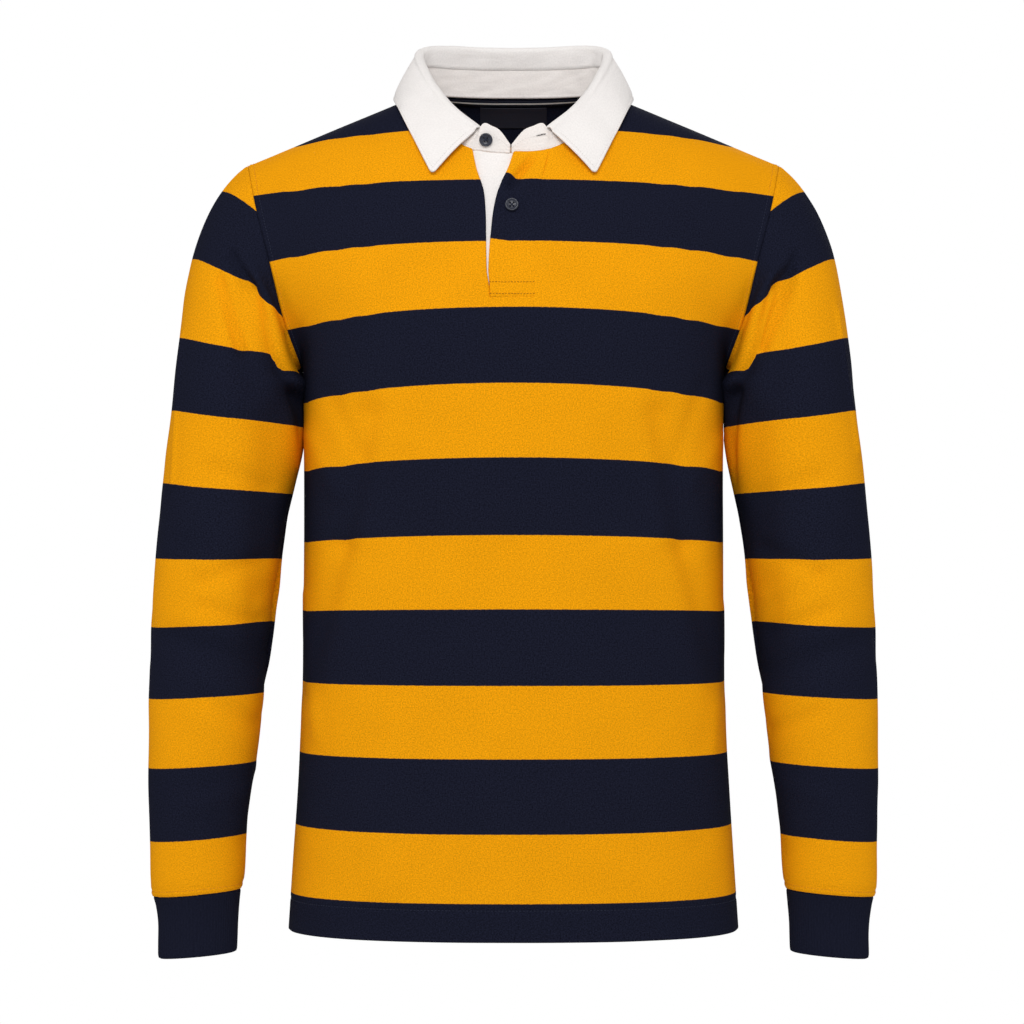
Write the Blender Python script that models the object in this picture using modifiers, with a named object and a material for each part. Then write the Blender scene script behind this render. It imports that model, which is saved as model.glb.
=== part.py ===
"""Long-sleeved rugby shirt, filled out as if worn with nobody inside, built from the pieces a maker sews.

Tables and sizes are in millimetres; meshes are written in metres. +Z is up, the front faces -Y and the
wearer's left side is +X. The origin lies midway between the neck points of the two shoulder seams, on
the level at which the wearer's shoulders carry the cloth.
"""

import bmesh
import bpy
import numpy as np
from mathutils import Matrix, Vector

MM = 0.001

# Cloth and sewing
JERSEY_THICKNESS = 1.6
HEM_THICKNESS = 2.8
HEM_DEPTH = 32.0
RIB_THICKNESS = 2.6
COLLAR_THICKNESS = 2.0
PLACKET_THICKNESS = 1.6
SEAM_GAP = 0.3
LAY_GAP = 0.4

# Girth of the body below the armholes, seen from above
# height, half width, front depth, back depth
TORSO = np.array([
    (-731, 197.5, 121, 116),
    (-664, 193, 120, 113),
    (-576, 187.5, 118, 107),
    (-488, 185, 117, 102),
    (-400, 184, 118, 103),
    (-320, 184, 122, 109),
    (-244, 185, 124, 114),
], float)
HEM_HEIGHT, UNDERARM_HEIGHT = TORSO[0, 0], TORSO[-1, 0]
GIRTH_SQUARENESS = 2.4

# Neckline and shoulders
NECK_HALF_WIDTH = 78.0
NECK_FRONT_Y = -89.0
NECK_BACK_Y = 57.0
NECK_FRONT_SQUARENESS = 2.8
NECK_BACK_SQUARENESS = 2.2
NECK_POINT = (78.0, 4.0, 1.5)
SHOULDER_POINT = (234.0, 4.0, -62.0)
NECK_SHARE = NECK_POINT[0] / SHOULDER_POINT[0]
FRONT_SQUARENESS = 2.1
BACK_SQUARENESS = 2.75

# Armhole seams, from the underarm (0) to the shoulder point (1)
# share, x, y, z
ARMHOLE_FRONT = np.array([
    (0.00, 185, 0, -244),
    (0.10, 187, -22, -236),
    (0.30, 200, -49, -198),
    (0.50, 211, -55, -152),
    (0.75, 225, -37, -99),
    (0.90, 231, -16, -73),
    (1.00, *SHOULDER_POINT),
], float)
ARMHOLE_BACK = np.array([
    (0.00, 185, 0, -244),
    (0.10, 188, 20, -237),
    (0.30, 205, 45, -201),
    (0.50, 218, 53, -154),
    (0.75, 229, 41, -100),
    (0.90, 233, 24, -73),
    (1.00, *SHOULDER_POINT),
], float)

# How the sleeve leaves the armhole: a direction for each share of the way round, underarm 0, top 0.5
# share, x, y, z
SLEEVE_START = np.array([
    (0.00, 0.10, 0.00, -1.00),
    (0.12, 0.20, -0.22, -0.95),
    (0.25, 0.42, -0.22, -0.88),
    (0.38, 0.67, -0.10, -0.74),
    (0.50, 0.79, 0.00, -0.61),
], float)

# Sleeve below the armhole: outer and inner edge from the front, and depth from the side
# share, outer x, outer z, inner x, inner z, middle y, half depth
SLEEVE = np.array([
    (0.00, 300, -278, 189, -297, -8, 68),
    (0.15, 307.5, -343, 195, -350, -11, 63),
    (0.30, 313, -407, 203, -408, -15, 59),
    (0.44, 316, -468, 209, -464, -19, 54),
    (0.59, 318, -533, 217, -526, -23, 49),
    (0.74, 318, -595, 225, -585, -26, 43),
    (0.89, 317, -659, 233, -649, -28, 37),
    (0.97, 314, -693, 235.5, -686, -29, 33),
    (1.00, 311.5, -701, 239, -694.5, -29, 30.5),
], float)
SLEEVE_SQUARENESS = 2.15

# Placket: where its edges run, as distances sideways at its foot and shares round the neckline at its top
PLACKET_FOOT = 0.31
SLIT_EDGE = (-20.5, -0.91)
OPENING_CURVE = 2.8
OVERLAP_EDGE = (-20.0, 0.9995)
SEWN_EDGE = (17.5, 0.91)

# Collar on the wearer's left: share round the neckline from the back, then where the stand ends above,
# the crest of the fold and the outer edge of the leaf
# around, stand x, y, z, crest x, y, z, edge x, y, z
COLLAR = np.array([
    (0.00, 0, 60, 29, 0, 59, 46.5, 0, 74, -4),
    (0.12, 30, 56, 29, 31, 56, 48, 37, 72, -4),
    (0.25, 57, 44, 29, 60, 45, 49, 74, 61, -7),
    (0.38, 76, 25, 28, 80, 27, 45, 98, 36, -5.5),
    (0.50, 81.5, 4, 22, 83, 4, 35, 106, -2, -4.5),
    (0.58, 74, -28, 3, 75, -26, 16, 100, -42.5, -17.5),
    (0.71, 59, -60, -20, 57.5, -58, -10, 86.5, -75, -45),
    (0.91, 31, -84, -42, 30, -86, -36, 70, -98, -78),
], float)
FOLD_RADIUS = 4.5

# Ends of the stand, beyond the leaf: share round the neckline, then the stand's upper edge
# around, x, y, z
STAND_END = np.array([
    (0.9100, 31, -84, -42),
    (0.9230, 27.5, -87, -36.3),
    (0.9560, 18.5, -88.5, -37.5),
    (0.9795, 11, -89.5, -42.5),
    (0.9960, 3.6, -89.5, -53),
], float)

# Tape and label inside the back of the neck
TAPE_WIDTH = 7.0
TAPE_THICKNESS = 0.8
TAPE_REACH = 72.0
LABEL_SIZE = (60.0, 21.0)
LABEL_TOP = 10.5
LABEL_THICKNESS = 0.7
BACK_GAP = 0.4

# Buttons
BUTTON_DIAMETER = 11.5
BUTTON_HEIGHT = 2.6
BUTTON_RIM = 1.3
HOLE_DIAMETER = 1.5
HOLE_SPACING = 2.9
BUTTON_STEPS = 16
BUTTON_LIFT = 0.6
PLACKET_BUTTON = (-1.5, -106.0)
COLLAR_BUTTON = (-23.5, -48.5)

# Largest soft folds, alike on both sides of the body: the line of each as seen from the front, how far it
# fades out sideways, and its height above the smooth cloth (below it where negative)
# facing, x start, z start, x end, z end, spread, height
BODY_FOLDS = np.array([
    (-1, 104, -262, 133, -387, 20, 2.2),
    (-1, 133, -387, 170, -520, 24, 2.8),
    (-1, 152, -275, 176, -420, 17, -3.0),
    (1, 120, -250, 150, -400, 24, 2.6),
    (1, 60, -430, 150, -470, 22, -3.2),
    (1, 50, -520, 160, -590, 26, 2.6),
], float)
SLEEVE_FOLDS = np.array([
    (-1, 221, -168, 201, -252, 11, 5.0),
    (-1, 236, -176, 226, -262, 12, -3.0),
    (-1, 222, -440, 282, -400, 15, -3.5),
    (-1, 226, -505, 300, -478, 17, -3.0),
    (1, 224, -165, 206, -250, 12, 4.0),
    (1, 226, -430, 296, -470, 17, 3.5),
    (1, 230, -520, 300, -545, 18, -3.0),
], float)

# Rib cuff, from the sleeve's end to the wrist edge
# share, outer x, outer z, inner x, inner z, middle y, half depth
CUFF = np.array([
    (0.00, 311.5, -701.4, 239, -694.9, -29, 30.5),
    (0.30, 310.5, -718, 239.5, -711, -29, 27),
    (1.00, 310.5, -755, 240, -749, -29, 24),
], float)


def look_up(table, at):
    """The table's other columns at any value of its first, on a smooth curve through its rows."""
    knots, values = table[:, 0], table[:, 1:]
    slopes = np.gradient(values, knots, axis=0)
    at = np.clip(np.asarray(at, float), knots[0], knots[-1])
    row = np.clip(np.searchsorted(knots, at, side="right") - 1, 0, len(knots) - 2)
    step = (knots[row + 1] - knots[row])[..., None]
    t = (at - knots[row])[..., None] / step
    start, end = values[row], values[row + 1]
    rise = t * t * (3 - 2 * t)
    leave = t * (1 - t) ** 2 * slopes[row]
    arrive = t * t * (t - 1) * slopes[row + 1]
    return start + (end - start) * rise + (leave + arrive) * step


def superellipse(share, squareness, width, height):
    """Sideways and upward share of a quarter superellipse, at even shares of its length from the side."""
    angle = np.linspace(0, np.pi / 2, 400)
    inward = 1 - np.cos(angle) ** (2 / squareness)
    upward = np.sin(angle) ** (2 / squareness)
    length = np.hypot(np.diff(inward) * width, np.diff(upward) * height)
    gone = np.concatenate([[0], np.cumsum(length)]) / length.sum()
    return np.interp(share, gone, inward), np.interp(share, gone, upward)


def ridge(across):
    """The shoulder line, carried on smoothly over the neck opening."""
    x = np.abs(across) * SHOULDER_POINT[0]
    slope = (SHOULDER_POINT[2] - NECK_POINT[2]) / (SHOULDER_POINT[0] - NECK_POINT[0])
    inside = NECK_POINT[2] + slope * (x ** 2 - NECK_POINT[0] ** 2) / (2 * NECK_POINT[0])
    outside = NECK_POINT[2] + slope * (x - NECK_POINT[0])
    z = np.where(x < NECK_POINT[0], inside, outside)
    return np.stack([np.sign(across) * x, np.full_like(x, NECK_POINT[1]), z], -1)


def yoke(across, rise, facing):
    """The body's outer face from the underarm (rise 0) to the shoulder line (1), with no neck cut out."""
    across, rise = np.broadcast_arrays(np.asarray(across, float), np.asarray(rise, float))
    half_width, front, back = TORSO[-1, 1:]
    inward, forward = superellipse(1 - np.abs(across), GIRTH_SQUARENESS, half_width, front)
    depth = front if facing < 0 else back
    low_x, low_y = np.sign(across) * half_width * (1 - inward), facing * depth * forward
    low = np.stack([low_x, low_y, np.full_like(low_x, UNDERARM_HEIGHT)], -1)
    squareness = FRONT_SQUARENESS if facing < 0 else BACK_SQUARENESS
    lean, climb = superellipse(rise, squareness, depth, -UNDERARM_HEIGHT)
    high = low + (ridge(across) - low) * np.stack([lean ** 0.8 * rise, lean, climb], -1)

    edge = look_up(ARMHOLE_FRONT if facing < 0 else ARMHOLE_BACK, rise)
    rim = np.array([half_width, 0, UNDERARM_HEIGHT])
    rim = rim + (ridge(1.0) - rim) * np.stack([lean ** 0.8 * rise, lean, climb], -1)
    pull = np.abs(across) ** (3 + 14 * (1 - rise) ** 8)
    shift = (edge - rim) * pull[..., None]
    shift[..., 0] *= np.sign(across)
    return high + shift


def neck_plan(points, facing):
    """The two terms of the neck opening's superellipse, seen from above: they add up to 1 on the seam."""
    reach = (NECK_FRONT_Y if facing < 0 else NECK_BACK_Y) - NECK_POINT[1]
    squareness = NECK_FRONT_SQUARENESS if facing < 0 else NECK_BACK_SQUARENESS
    sideways = np.abs(points[..., 0] / NECK_HALF_WIDTH) ** squareness
    return sideways, np.maximum((points[..., 1] - NECK_POINT[1]) / reach, 0) ** squareness


def neck_rise(across, facing):
    """How far up a column reaches: the neck seam near the middle, and 1, the shoulder seam, beyond it."""
    columns = NECK_SHARE * np.sin(np.linspace(0, np.pi / 2, 60))
    rises = np.linspace(0.2, 1, 160)
    plan = yoke(columns[:, None], rises[None, :], facing)
    sideways, forward = neck_plan(plan, facing)
    outside = sideways + forward - 1
    cut = [np.interp(0, -row, rises) for row in outside]
    cut[-1] = 1.0
    return np.interp(np.abs(across), columns, cut)


def body(across, up, facing):
    """A point of the body's outer face. across runs from -1 to 1 between the side seams, up is -1 at the
    hem, 0 at the underarm and 1 at the neck or shoulder seam, and facing is -1 in front and 1 behind."""
    across, up = np.broadcast_arrays(np.asarray(across, float), np.asarray(up, float))
    height = UNDERARM_HEIGHT + np.minimum(up, 0) * (UNDERARM_HEIGHT - HEM_HEIGHT)
    half_width, front, back = np.moveaxis(look_up(TORSO, height), -1, 0)
    inward, forward = superellipse(1 - np.abs(across), GIRTH_SQUARENESS, *TORSO[-1, 1:3])
    depth = front if facing < 0 else back
    low = np.stack([np.sign(across) * half_width * (1 - inward), facing * depth * forward, height], -1)
    high = yoke(across, np.clip(up, 0, 1) * neck_rise(across, facing), facing)
    smooth = np.where((up > 0)[..., None], high, low)
    edge_fade = (1 - np.abs(across) ** 8) * np.clip(4 - 4 * up, 0, 1)
    outward = np.stack([np.sign(across) * (1 - forward), facing * forward, 0 * forward], -1)
    return raised(smooth, outward * edge_fade[..., None], BODY_FOLDS, facing)


def raised(points, outward, folds, facing):
    """The points with soft folds added: each is a ridge or hollow along a line drawn in the front view."""
    seen = np.stack([np.abs(points[..., 0]), points[..., 2]], -1)
    height = np.zeros(seen.shape[:-1])
    for side, x1, z1, x2, z2, spread, rise in folds:
        start, line = np.array([x1, z1]), np.array([x2 - x1, z2 - z1])
        along = ((seen - start) @ line) / (line @ line)
        off = np.linalg.norm(seen - start - np.clip(along, 0, 1)[..., None] * line, axis=-1)
        height += np.where(facing == side, rise * np.exp(-(off / spread) ** 2), 0)
    return points + outward * height[..., None]


def armhole(round_share):
    """A point of the left armhole seam: 0 at the underarm, 0.5 at the shoulder, up the front first."""
    rise = 1 - np.abs(1 - 2 * np.asarray(round_share, float))
    front = look_up(ARMHOLE_FRONT, rise)
    back = look_up(ARMHOLE_BACK, rise)
    return np.where((np.asarray(round_share) < 0.5)[..., None], front, back)


def tube_ring(table, along, round_share):
    """A point of a tapering tube given by its outer and inner edge: round_share 0 inside, 0.5 outside."""
    outer_x, outer_z, inner_x, inner_z, middle_y, half_depth = np.moveaxis(look_up(table, along), -1, 0)
    angle = 2 * np.pi * np.asarray(round_share, float)
    power = 2 / SLEEVE_SQUARENESS
    side = -np.sign(np.cos(angle)) * np.abs(np.cos(angle)) ** power
    forward = np.sign(np.sin(angle)) * np.abs(np.sin(angle)) ** power
    share = (1 + side) / 2
    return np.stack([
        inner_x + (outer_x - inner_x) * share,
        middle_y - half_depth * forward,
        inner_z + (outer_z - inner_z) * share,
    ], -1)


def sleeve(along, round_share):
    """A point of the left sleeve's outer face: along is -1 at the armhole, 0 below it and 1 at the cuff."""
    along, round_share = np.broadcast_arrays(np.asarray(along, float), np.asarray(round_share, float))
    low = tube_ring(SLEEVE, np.clip(along, 0, 1), round_share)
    seam = armhole(round_share)
    fold = np.abs(1 - 2 * round_share)
    start = look_up(SLEEVE_START, (1 - fold) / 2)
    start[..., 1] *= np.where(round_share < 0.5, 1, -1)
    ring = tube_ring(SLEEVE, np.zeros_like(along), round_share)
    below = tube_ring(SLEEVE, np.full_like(along, 0.03), round_share)
    end = (below - ring) / np.linalg.norm(below - ring, axis=-1, keepdims=True)
    reach = np.linalg.norm(ring - seam, axis=-1, keepdims=True)
    t = np.clip(along + 1, 0, 1)[..., None]
    cap = (
        seam + (ring - seam) * t * t * (3 - 2 * t)
        + reach * start * t * (1 - t) ** 2
        + reach * end * t * t * (t - 1)
    )
    smooth = np.where((along < 0)[..., None], cap, low)
    turned = 2 * np.pi * round_share
    outward = np.stack([-np.cos(turned), -np.sin(turned), 0 * turned], -1)
    fade = np.clip((along + 1) / 0.12, 0, 1) * np.clip((1 - along) / 0.1, 0, 1)
    facing = np.where(round_share < 0.5, -1, 1)
    return raised(smooth, outward * fade[..., None], SLEEVE_FOLDS, facing)


def neck_across(around, facing):
    """The column whose neck seam lies at a share round the neckline: 0 centre back, 0.5 side, 1 front."""
    columns = NECK_SHARE * np.sin(np.linspace(0, np.pi / 2, 60))
    sideways, forward = neck_plan(body(columns, 1.0, facing), facing)
    turned = np.arctan2(sideways ** 0.5, forward ** 0.5) / np.pi
    turned[0], turned[-1] = 0.0, 0.5
    share = np.abs(np.asarray(around, float))
    share = 1 - share if facing < 0 else share
    return np.sign(around) * np.interp(share, turned, columns)


def across_at(x, up, facing):
    """The column that stands a distance x sideways from the middle at one height."""
    columns = np.linspace(-1, 1, 401)
    return np.interp(x, body(columns, up, facing)[:, 0], columns)


# Making a solid from the grids of points on its two faces


def unit(vectors):
    return vectors / np.maximum(np.linalg.norm(vectors, axis=-1, keepdims=True), 1e-9)


def normals(grid, closed=False):
    """Outward normals of a grid of points: seen from outside, rows run up and columns to the right."""
    wide = np.concatenate([grid, grid[:, :1]], 1) if closed else grid
    cell = np.cross(wide[1:, 1:] - wide[:-1, :-1], wide[1:, :-1] - wide[:-1, 1:])
    total = np.zeros_like(wide)
    for rows in (slice(None, -1), slice(1, None)):
        for columns in (slice(None, -1), slice(1, None)):
            total[rows, columns] += cell
    if closed:
        total[:, 0] += total[:, -1]
        total = total[:, :-1]
    return unit(total)


def inward_along(line, neighbours):
    """Unit directions from an edge into its piece, square to the edge."""
    tangent = unit(np.gradient(line, axis=0))
    reach = neighbours - line
    return unit(reach - (reach * tangent).sum(-1, keepdims=True) * tangent)


def corner_fold(one, other, thickness):
    """The step from the outer to the inner face where two walls meet with their normals one and other."""
    middle = unit(one + other)
    cosine = np.maximum((middle * one).sum(-1, keepdims=True), 0.75)
    return middle * thickness / cosine


def piece(name, outer, inner, kept=None, closed=False):
    """One cut piece as a closed solid: an outer and an inner grid of points, joined round every free edge.
    kept says which cells of the grid are cloth; closed joins the last column to the first."""
    rows, columns = outer.shape[:2]
    bm = bmesh.new()
    sides = []
    for grid in (outer, inner):
        sides.append([[bm.verts.new(point * MM) for point in row] for row in grid])
    edges = {}
    for row in range(rows - 1):
        for column in range(columns if closed else columns - 1):
            if kept is not None and not kept[row, column]:
                continue
            following = (column + 1) % columns
            corners = [(row, column), (row, following), (row + 1, following), (row + 1, column)]
            one = np.linalg.norm(outer[corners[0]] - outer[corners[2]])
            other = np.linalg.norm(outer[corners[1]] - outer[corners[3]])
            if other < one:
                corners = corners[1:] + corners[:1]
            for half in (corners[:3], [corners[0], *corners[2:]]):
                bm.faces.new([sides[0][r][c] for r, c in half])
                bm.faces.new([sides[1][r][c] for r, c in reversed(half)])
            for start, end in zip(corners, corners[1:] + corners[:1]):
                if (end, start) in edges:
                    del edges[end, start]
                else:
                    edges[start, end] = True
    for one, two in edges:
        rim = [(0, *two), (0, *one), (1, *one), (1, *two)]
        if np.linalg.norm(outer[one] - inner[two]) < np.linalg.norm(outer[two] - inner[one]):
            rim = rim[1:] + rim[:1]
        corners = [sides[side][r][c] for side, r, c in rim]
        bm.faces.new(corners[:3])
        bm.faces.new([corners[0], *corners[2:]])
    loose = [vertex for vertex in bm.verts if not vertex.link_faces]
    bmesh.ops.delete(bm, geom=loose, context="VERTS")
    return finish(name, bm)


def finish(name, bm):
    """Turn a bmesh into a named object of the garment, with its own material and outward faces."""
    bmesh.ops.recalc_face_normals(bm, faces=bm.faces)
    mesh = bpy.data.meshes.new(name)
    bm.to_mesh(mesh)
    bm.free()
    thing = bpy.data.objects.new(name, mesh)
    collection.objects.link(thing)
    colour, roughness = LOOKS[name]
    material = bpy.data.materials.new(name)
    material.use_nodes = True
    shader = material.node_tree.nodes["Principled BSDF"]
    shader.inputs["Base Color"].default_value = (*colour, 1)
    shader.inputs["Roughness"].default_value = roughness
    mesh.materials.append(material)
    mesh.polygons.foreach_set("use_smooth", [True] * len(mesh.polygons))
    return thing


def mirrored(grid):
    """The same points on the wearer's right, with the columns turned round to keep the faces outward."""
    return (grid * np.array([-1, 1, 1]))[:, ::-1]


def draw_back(outer, inner, edge, neighbours, amount):
    """Move an edge of both faces into the piece, so that a clear gap is left at the seam."""
    step = inward_along(outer[edge], outer[neighbours]) * amount
    outer[edge] += step
    inner[edge] += step


# Start from an empty scene
for thing in list(bpy.data.objects):
    bpy.data.objects.remove(thing, do_unlink=True)
collection = bpy.data.collections.new("rugby_shirt")
bpy.context.scene.collection.children.link(collection)

GOLD = (0.82, 0.35, 0.01)
NAVY = (0.012, 0.014, 0.03)
WHITE = (0.86, 0.83, 0.79)
LOOKS = {
    "front": (GOLD, 0.9),
    "back": (GOLD, 0.9),
    "sleeve_left": (GOLD, 0.9),
    "sleeve_right": (GOLD, 0.9),
    "cuff_left": (NAVY, 0.9),
    "cuff_right": (NAVY, 0.9),
    "collar_stand": (WHITE, 0.85),
    "collar_leaf": (WHITE, 0.85),
    "placket_top": (NAVY, 0.9),
    "placket_under": (WHITE, 0.85),
    "neck_tape": (NAVY, 0.85),
    "neck_label": (NAVY, 0.6),
    "button_collar": ((0.02, 0.022, 0.035), 0.35),
    "button_placket": ((0.02, 0.022, 0.035), 0.35),
}

# Rows of the body: evenly up from the hem, then up to the neck, with one row at the placket's foot
LOW_ROWS = -1 + np.array([0, HEM_DEPTH / (UNDERARM_HEIGHT - HEM_HEIGHT), *np.arange(2, 12) / 12])
PLACKET_ROWS = np.linspace(PLACKET_FOOT, 1, 10)
HIGH_ROWS = np.concatenate([np.linspace(0, PLACKET_FOOT, 4)[:-1], PLACKET_ROWS])
ROWS = np.concatenate([LOW_ROWS, HIGH_ROWS])
FOOT = len(LOW_ROWS) + 3

# Seams round the neck, shared by the panels and the stand
SIDE_ROUND = np.array([0.5, 0.54, 0.58, 0.645, 0.71, 0.78, 0.85])
BACK_ROUND = np.array([0, 0.12, 0.25, 0.38, 0.5])
OUTER_COLUMNS = NECK_SHARE + (1 - NECK_SHARE) * np.array([0.15, 0.31, 0.47, 0.62, 0.76, 0.88, 1])


def front_columns():
    """Columns of the front in every row: below the placket's foot they run straight down, above it those
    beside the slit lean out to the neck. Also the cells that are cloth: the slit is open."""
    right = np.concatenate([-OUTER_COLUMNS[::-1], -neck_across(SIDE_ROUND, -1)])
    left = -right[::-1]
    slit_top, sewn_top = neck_across([SLIT_EDGE[1], SEWN_EDGE[1]], -1)
    slit_foot, sewn_foot = across_at([SLIT_EDGE[0], SEWN_EDGE[0]], PLACKET_FOOT, -1)
    foot = [slit_foot, (slit_foot + sewn_foot) / 2, sewn_foot]
    top = [slit_top, (slit_top + sewn_top) / 2, sewn_top]
    rise = np.clip((ROWS - PLACKET_FOOT) / (1 - PLACKET_FOOT), 0, 1) ** OPENING_CURVE
    middle = np.array(foot) + (np.array(top) - np.array(foot)) * rise[:, None]
    wide = np.ones((len(ROWS), 1))
    columns = np.concatenate([right * wide, middle, left * wide], 1)
    kept = np.ones((len(ROWS) - 1, columns.shape[1] - 1), bool)
    kept[FOOT:, len(right):len(right) + 2] = False
    return columns, kept


# Body, as outer faces first
front_across, front_kept = front_columns()
front_out = body(front_across, ROWS[:, None], -1)
neck_back = neck_across(BACK_ROUND, 1)
back_half = np.concatenate([neck_back, OUTER_COLUMNS])
back_across = np.concatenate([-back_half[:0:-1], back_half])
back_out = body(back_across[None, ::-1], ROWS[:, None], 1)
SLIT = len(OUTER_COLUMNS) + len(SIDE_ROUND)
SEWN = SLIT + 2

# Sleeve on the wearer's left: the first ring is the armhole, with a column for each row of the body
half_round = HIGH_ROWS / 2
SLEEVE_ROUND = np.concatenate([half_round, 1 - half_round[-2:0:-1]])
SLEEVE_RINGS = np.array([-1, -0.86, -0.7, -0.52, -0.34, -0.16, 0, 0.14, 0.28, 0.42, 0.56, 0.7, 0.84, 0.97, 1])
sleeve_out = sleeve(SLEEVE_RINGS[::-1, None], SLEEVE_ROUND[None, :])

front_normal = normals(front_out)
back_normal = normals(back_out)
sleeve_normal = normals(sleeve_out, closed=True)

# Stand of the collar: from the front edge on the wearer's left, round the back, to the other front edge
STAND_ROUND = np.concatenate([STAND_END[::-1, 0], SIDE_ROUND[::-1], BACK_ROUND[-2::-1]])
STAND_ROUND = np.concatenate([STAND_ROUND, -STAND_ROUND[-2::-1]])


def neckline(around):
    """Points of the neck seam at signed shares round it, positive on the wearer's left."""
    front = body(neck_across(around, -1), 1.0, -1)
    back = body(neck_across(around, 1), 1.0, 1)
    return np.where((np.abs(around) > 0.5)[:, None], front, back)


def signed(points, around):
    return points * np.stack([np.where(around < 0, -1, 1), np.ones_like(around), np.ones_like(around)], -1)


covered = np.abs(STAND_ROUND) <= COLLAR[-1, 0]
stand_base = neckline(STAND_ROUND)
under_leaf = look_up(COLLAR[:, :4], np.abs(STAND_ROUND))
stand_top = np.where(covered[:, None], under_leaf, look_up(STAND_END, np.abs(STAND_ROUND)))
stand_top = signed(stand_top, STAND_ROUND)
stand_out = np.stack([stand_base, (stand_base + stand_top) / 2, stand_top])
stand_normal = normals(stand_out)


def round_armhole(up_front, up_back):
    """Directions at each column of the left sleeve's first ring, from those up the body's two edges."""
    ring = np.concatenate([up_front, up_back[-2:0:-1]])
    ring[0] = unit(up_front[0] + up_back[0])
    ring[len(up_front) - 1] = unit(up_front[-1] + up_back[-1])
    return ring


# Inner faces. Two walls that meet share one inner point for each point of the seam, so the seam is a mitre
UNDERARM = len(LOW_ROWS)
wall = np.where(np.arange(len(ROWS)) < 2, HEM_THICKNESS, JERSEY_THICKNESS)[:, None, None]
front_in = front_out - front_normal * wall
back_in = back_out - back_normal * wall
sleeve_in = sleeve_out - sleeve_normal * JERSEY_THICKNESS
stand_in = stand_out - stand_normal * COLLAR_THICKNESS

side_fold = corner_fold(front_normal[:, -1], back_normal[:, 0], wall[:, 0])
front_in[:, -1] = back_in[:, 0] = front_out[:, -1] - side_fold
side_fold = side_fold * np.array([-1, 1, 1])
front_in[:, 0] = back_in[:, -1] = front_out[:, 0] - side_fold

shoulder = len(OUTER_COLUMNS) + 1
fold = corner_fold(front_normal[-1, :shoulder], back_normal[-1, ::-1][:shoulder], JERSEY_THICKNESS)
front_in[-1, :shoulder] = front_out[-1, :shoulder] - fold
back_in[-1, ::-1][:shoulder] = front_in[-1, :shoulder]
front_in[-1, ::-1][:shoulder] = front_in[-1, :shoulder] * np.array([-1, 1, 1])
back_in[-1, :shoulder] = front_in[-1, ::-1][:shoulder]

body_facing = round_armhole(front_normal[UNDERARM:, -1], back_normal[UNDERARM:, 0])
fold = corner_fold(body_facing, sleeve_normal[-1], JERSEY_THICKNESS)
fold[0, 1] = 0
fold[[1, -1], 0] = 0.25
from_underarm = np.minimum(np.arange(len(fold)), len(fold) - np.arange(len(fold)))
fold *= np.interp(from_underarm, [0, 1, 3], [0.8, 0.62, 1])[:, None]
armhole_in = sleeve_out[-1] - fold
sleeve_in[-1] = armhole_in
half = len(HIGH_ROWS)
front_in[UNDERARM:, -1] = armhole_in[:half]
back_in[UNDERARM:, 0] = np.concatenate([armhole_in[:1], armhole_in[:half - 2:-1]])
front_in[UNDERARM:, 0] = front_in[UNDERARM:, -1] * np.array([-1, 1, 1])
back_in[UNDERARM:, -1] = back_in[UNDERARM:, 0] * np.array([-1, 1, 1])

# Neck seam: the body's normal under each column of the stand
neck_normal = []
for around, base in zip(STAND_ROUND, stand_base):
    near_front = np.linalg.norm(front_out[-1] - base, axis=-1)
    near_back = np.linalg.norm(back_out[-1] - base, axis=-1)
    if abs(around) == 0.5:
        neck_normal.append(unit(front_normal[-1, near_front.argmin()] + back_normal[-1, near_back.argmin()]))
    elif abs(around) > 0.5:
        neck_normal.append(front_normal[-1, near_front.argmin()])
    else:
        neck_normal.append(back_normal[-1, near_back.argmin()])
neck_normal = np.array(neck_normal)
stand_in[0] = stand_base - corner_fold(neck_normal, stand_normal[0], COLLAR_THICKNESS)
neck_in = stand_base - corner_fold(neck_normal, stand_normal[0], JERSEY_THICKNESS)
for grid_out, grid_in in ((front_out, front_in), (back_out, back_in)):
    for point, inner in zip(stand_base, neck_in):
        distance = np.linalg.norm(grid_out[-1] - point, axis=-1)
        if distance.min() < 0.01:
            grid_in[-1, distance.argmin()] = inner

# Leave a clear gap at every seam. At an armhole both sides move away from the plane of the mitre
PULL = 0.6 * SEAM_GAP
LEFT_EDGE, RIGHT_EDGE = (slice(None), 0), (slice(None), -1)


into_front = inward_along(front_out[UNDERARM:, -1], front_out[UNDERARM:, -2])
into_back = inward_along(back_out[UNDERARM:, 0], back_out[UNDERARM:, 1])
body_in = round_armhole(into_front, into_back)
sleeve_away = unit(sleeve_out[-2] - sleeve_out[-1])
apart = unit(body_in - sleeve_away + 0.5 * (sleeve_normal[-1] - body_facing)) * 1.6 * PULL
left_step = np.concatenate([apart[:1], apart[:half - 2:-1]])
turn_side = np.array([-1, 1, 1])
below = slice(None, UNDERARM + 1)
for grid_out, grid_in in ((front_out, front_in), (back_out, back_in)):
    draw_back(grid_out, grid_in, (below, 0), (below, 1), PULL)
    draw_back(grid_out, grid_in, (below, -1), (below, -2), PULL)
    draw_back(grid_out, grid_in, (-1,), (-2,), PULL)
for grid in (front_out, front_in):
    grid[UNDERARM:, -1] += apart[:half]
    grid[UNDERARM:, 0] += apart[:half] * turn_side
for grid in (back_out, back_in):
    grid[UNDERARM:, 0] += left_step
    grid[UNDERARM:, -1] += left_step * turn_side
sleeve_out[-1] -= apart
sleeve_in[-1] -= apart
above_foot = slice(FOOT, None)
draw_back(front_out, front_in, (above_foot, SLIT), (above_foot, SLIT - 1), PULL)
draw_back(front_out, front_in, (above_foot, SEWN), (above_foot, SEWN + 1), PULL)
draw_back(front_out, front_in, (FOOT, slice(SLIT, SEWN + 1)), (FOOT - 1, slice(SLIT, SEWN + 1)), PULL)
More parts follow.
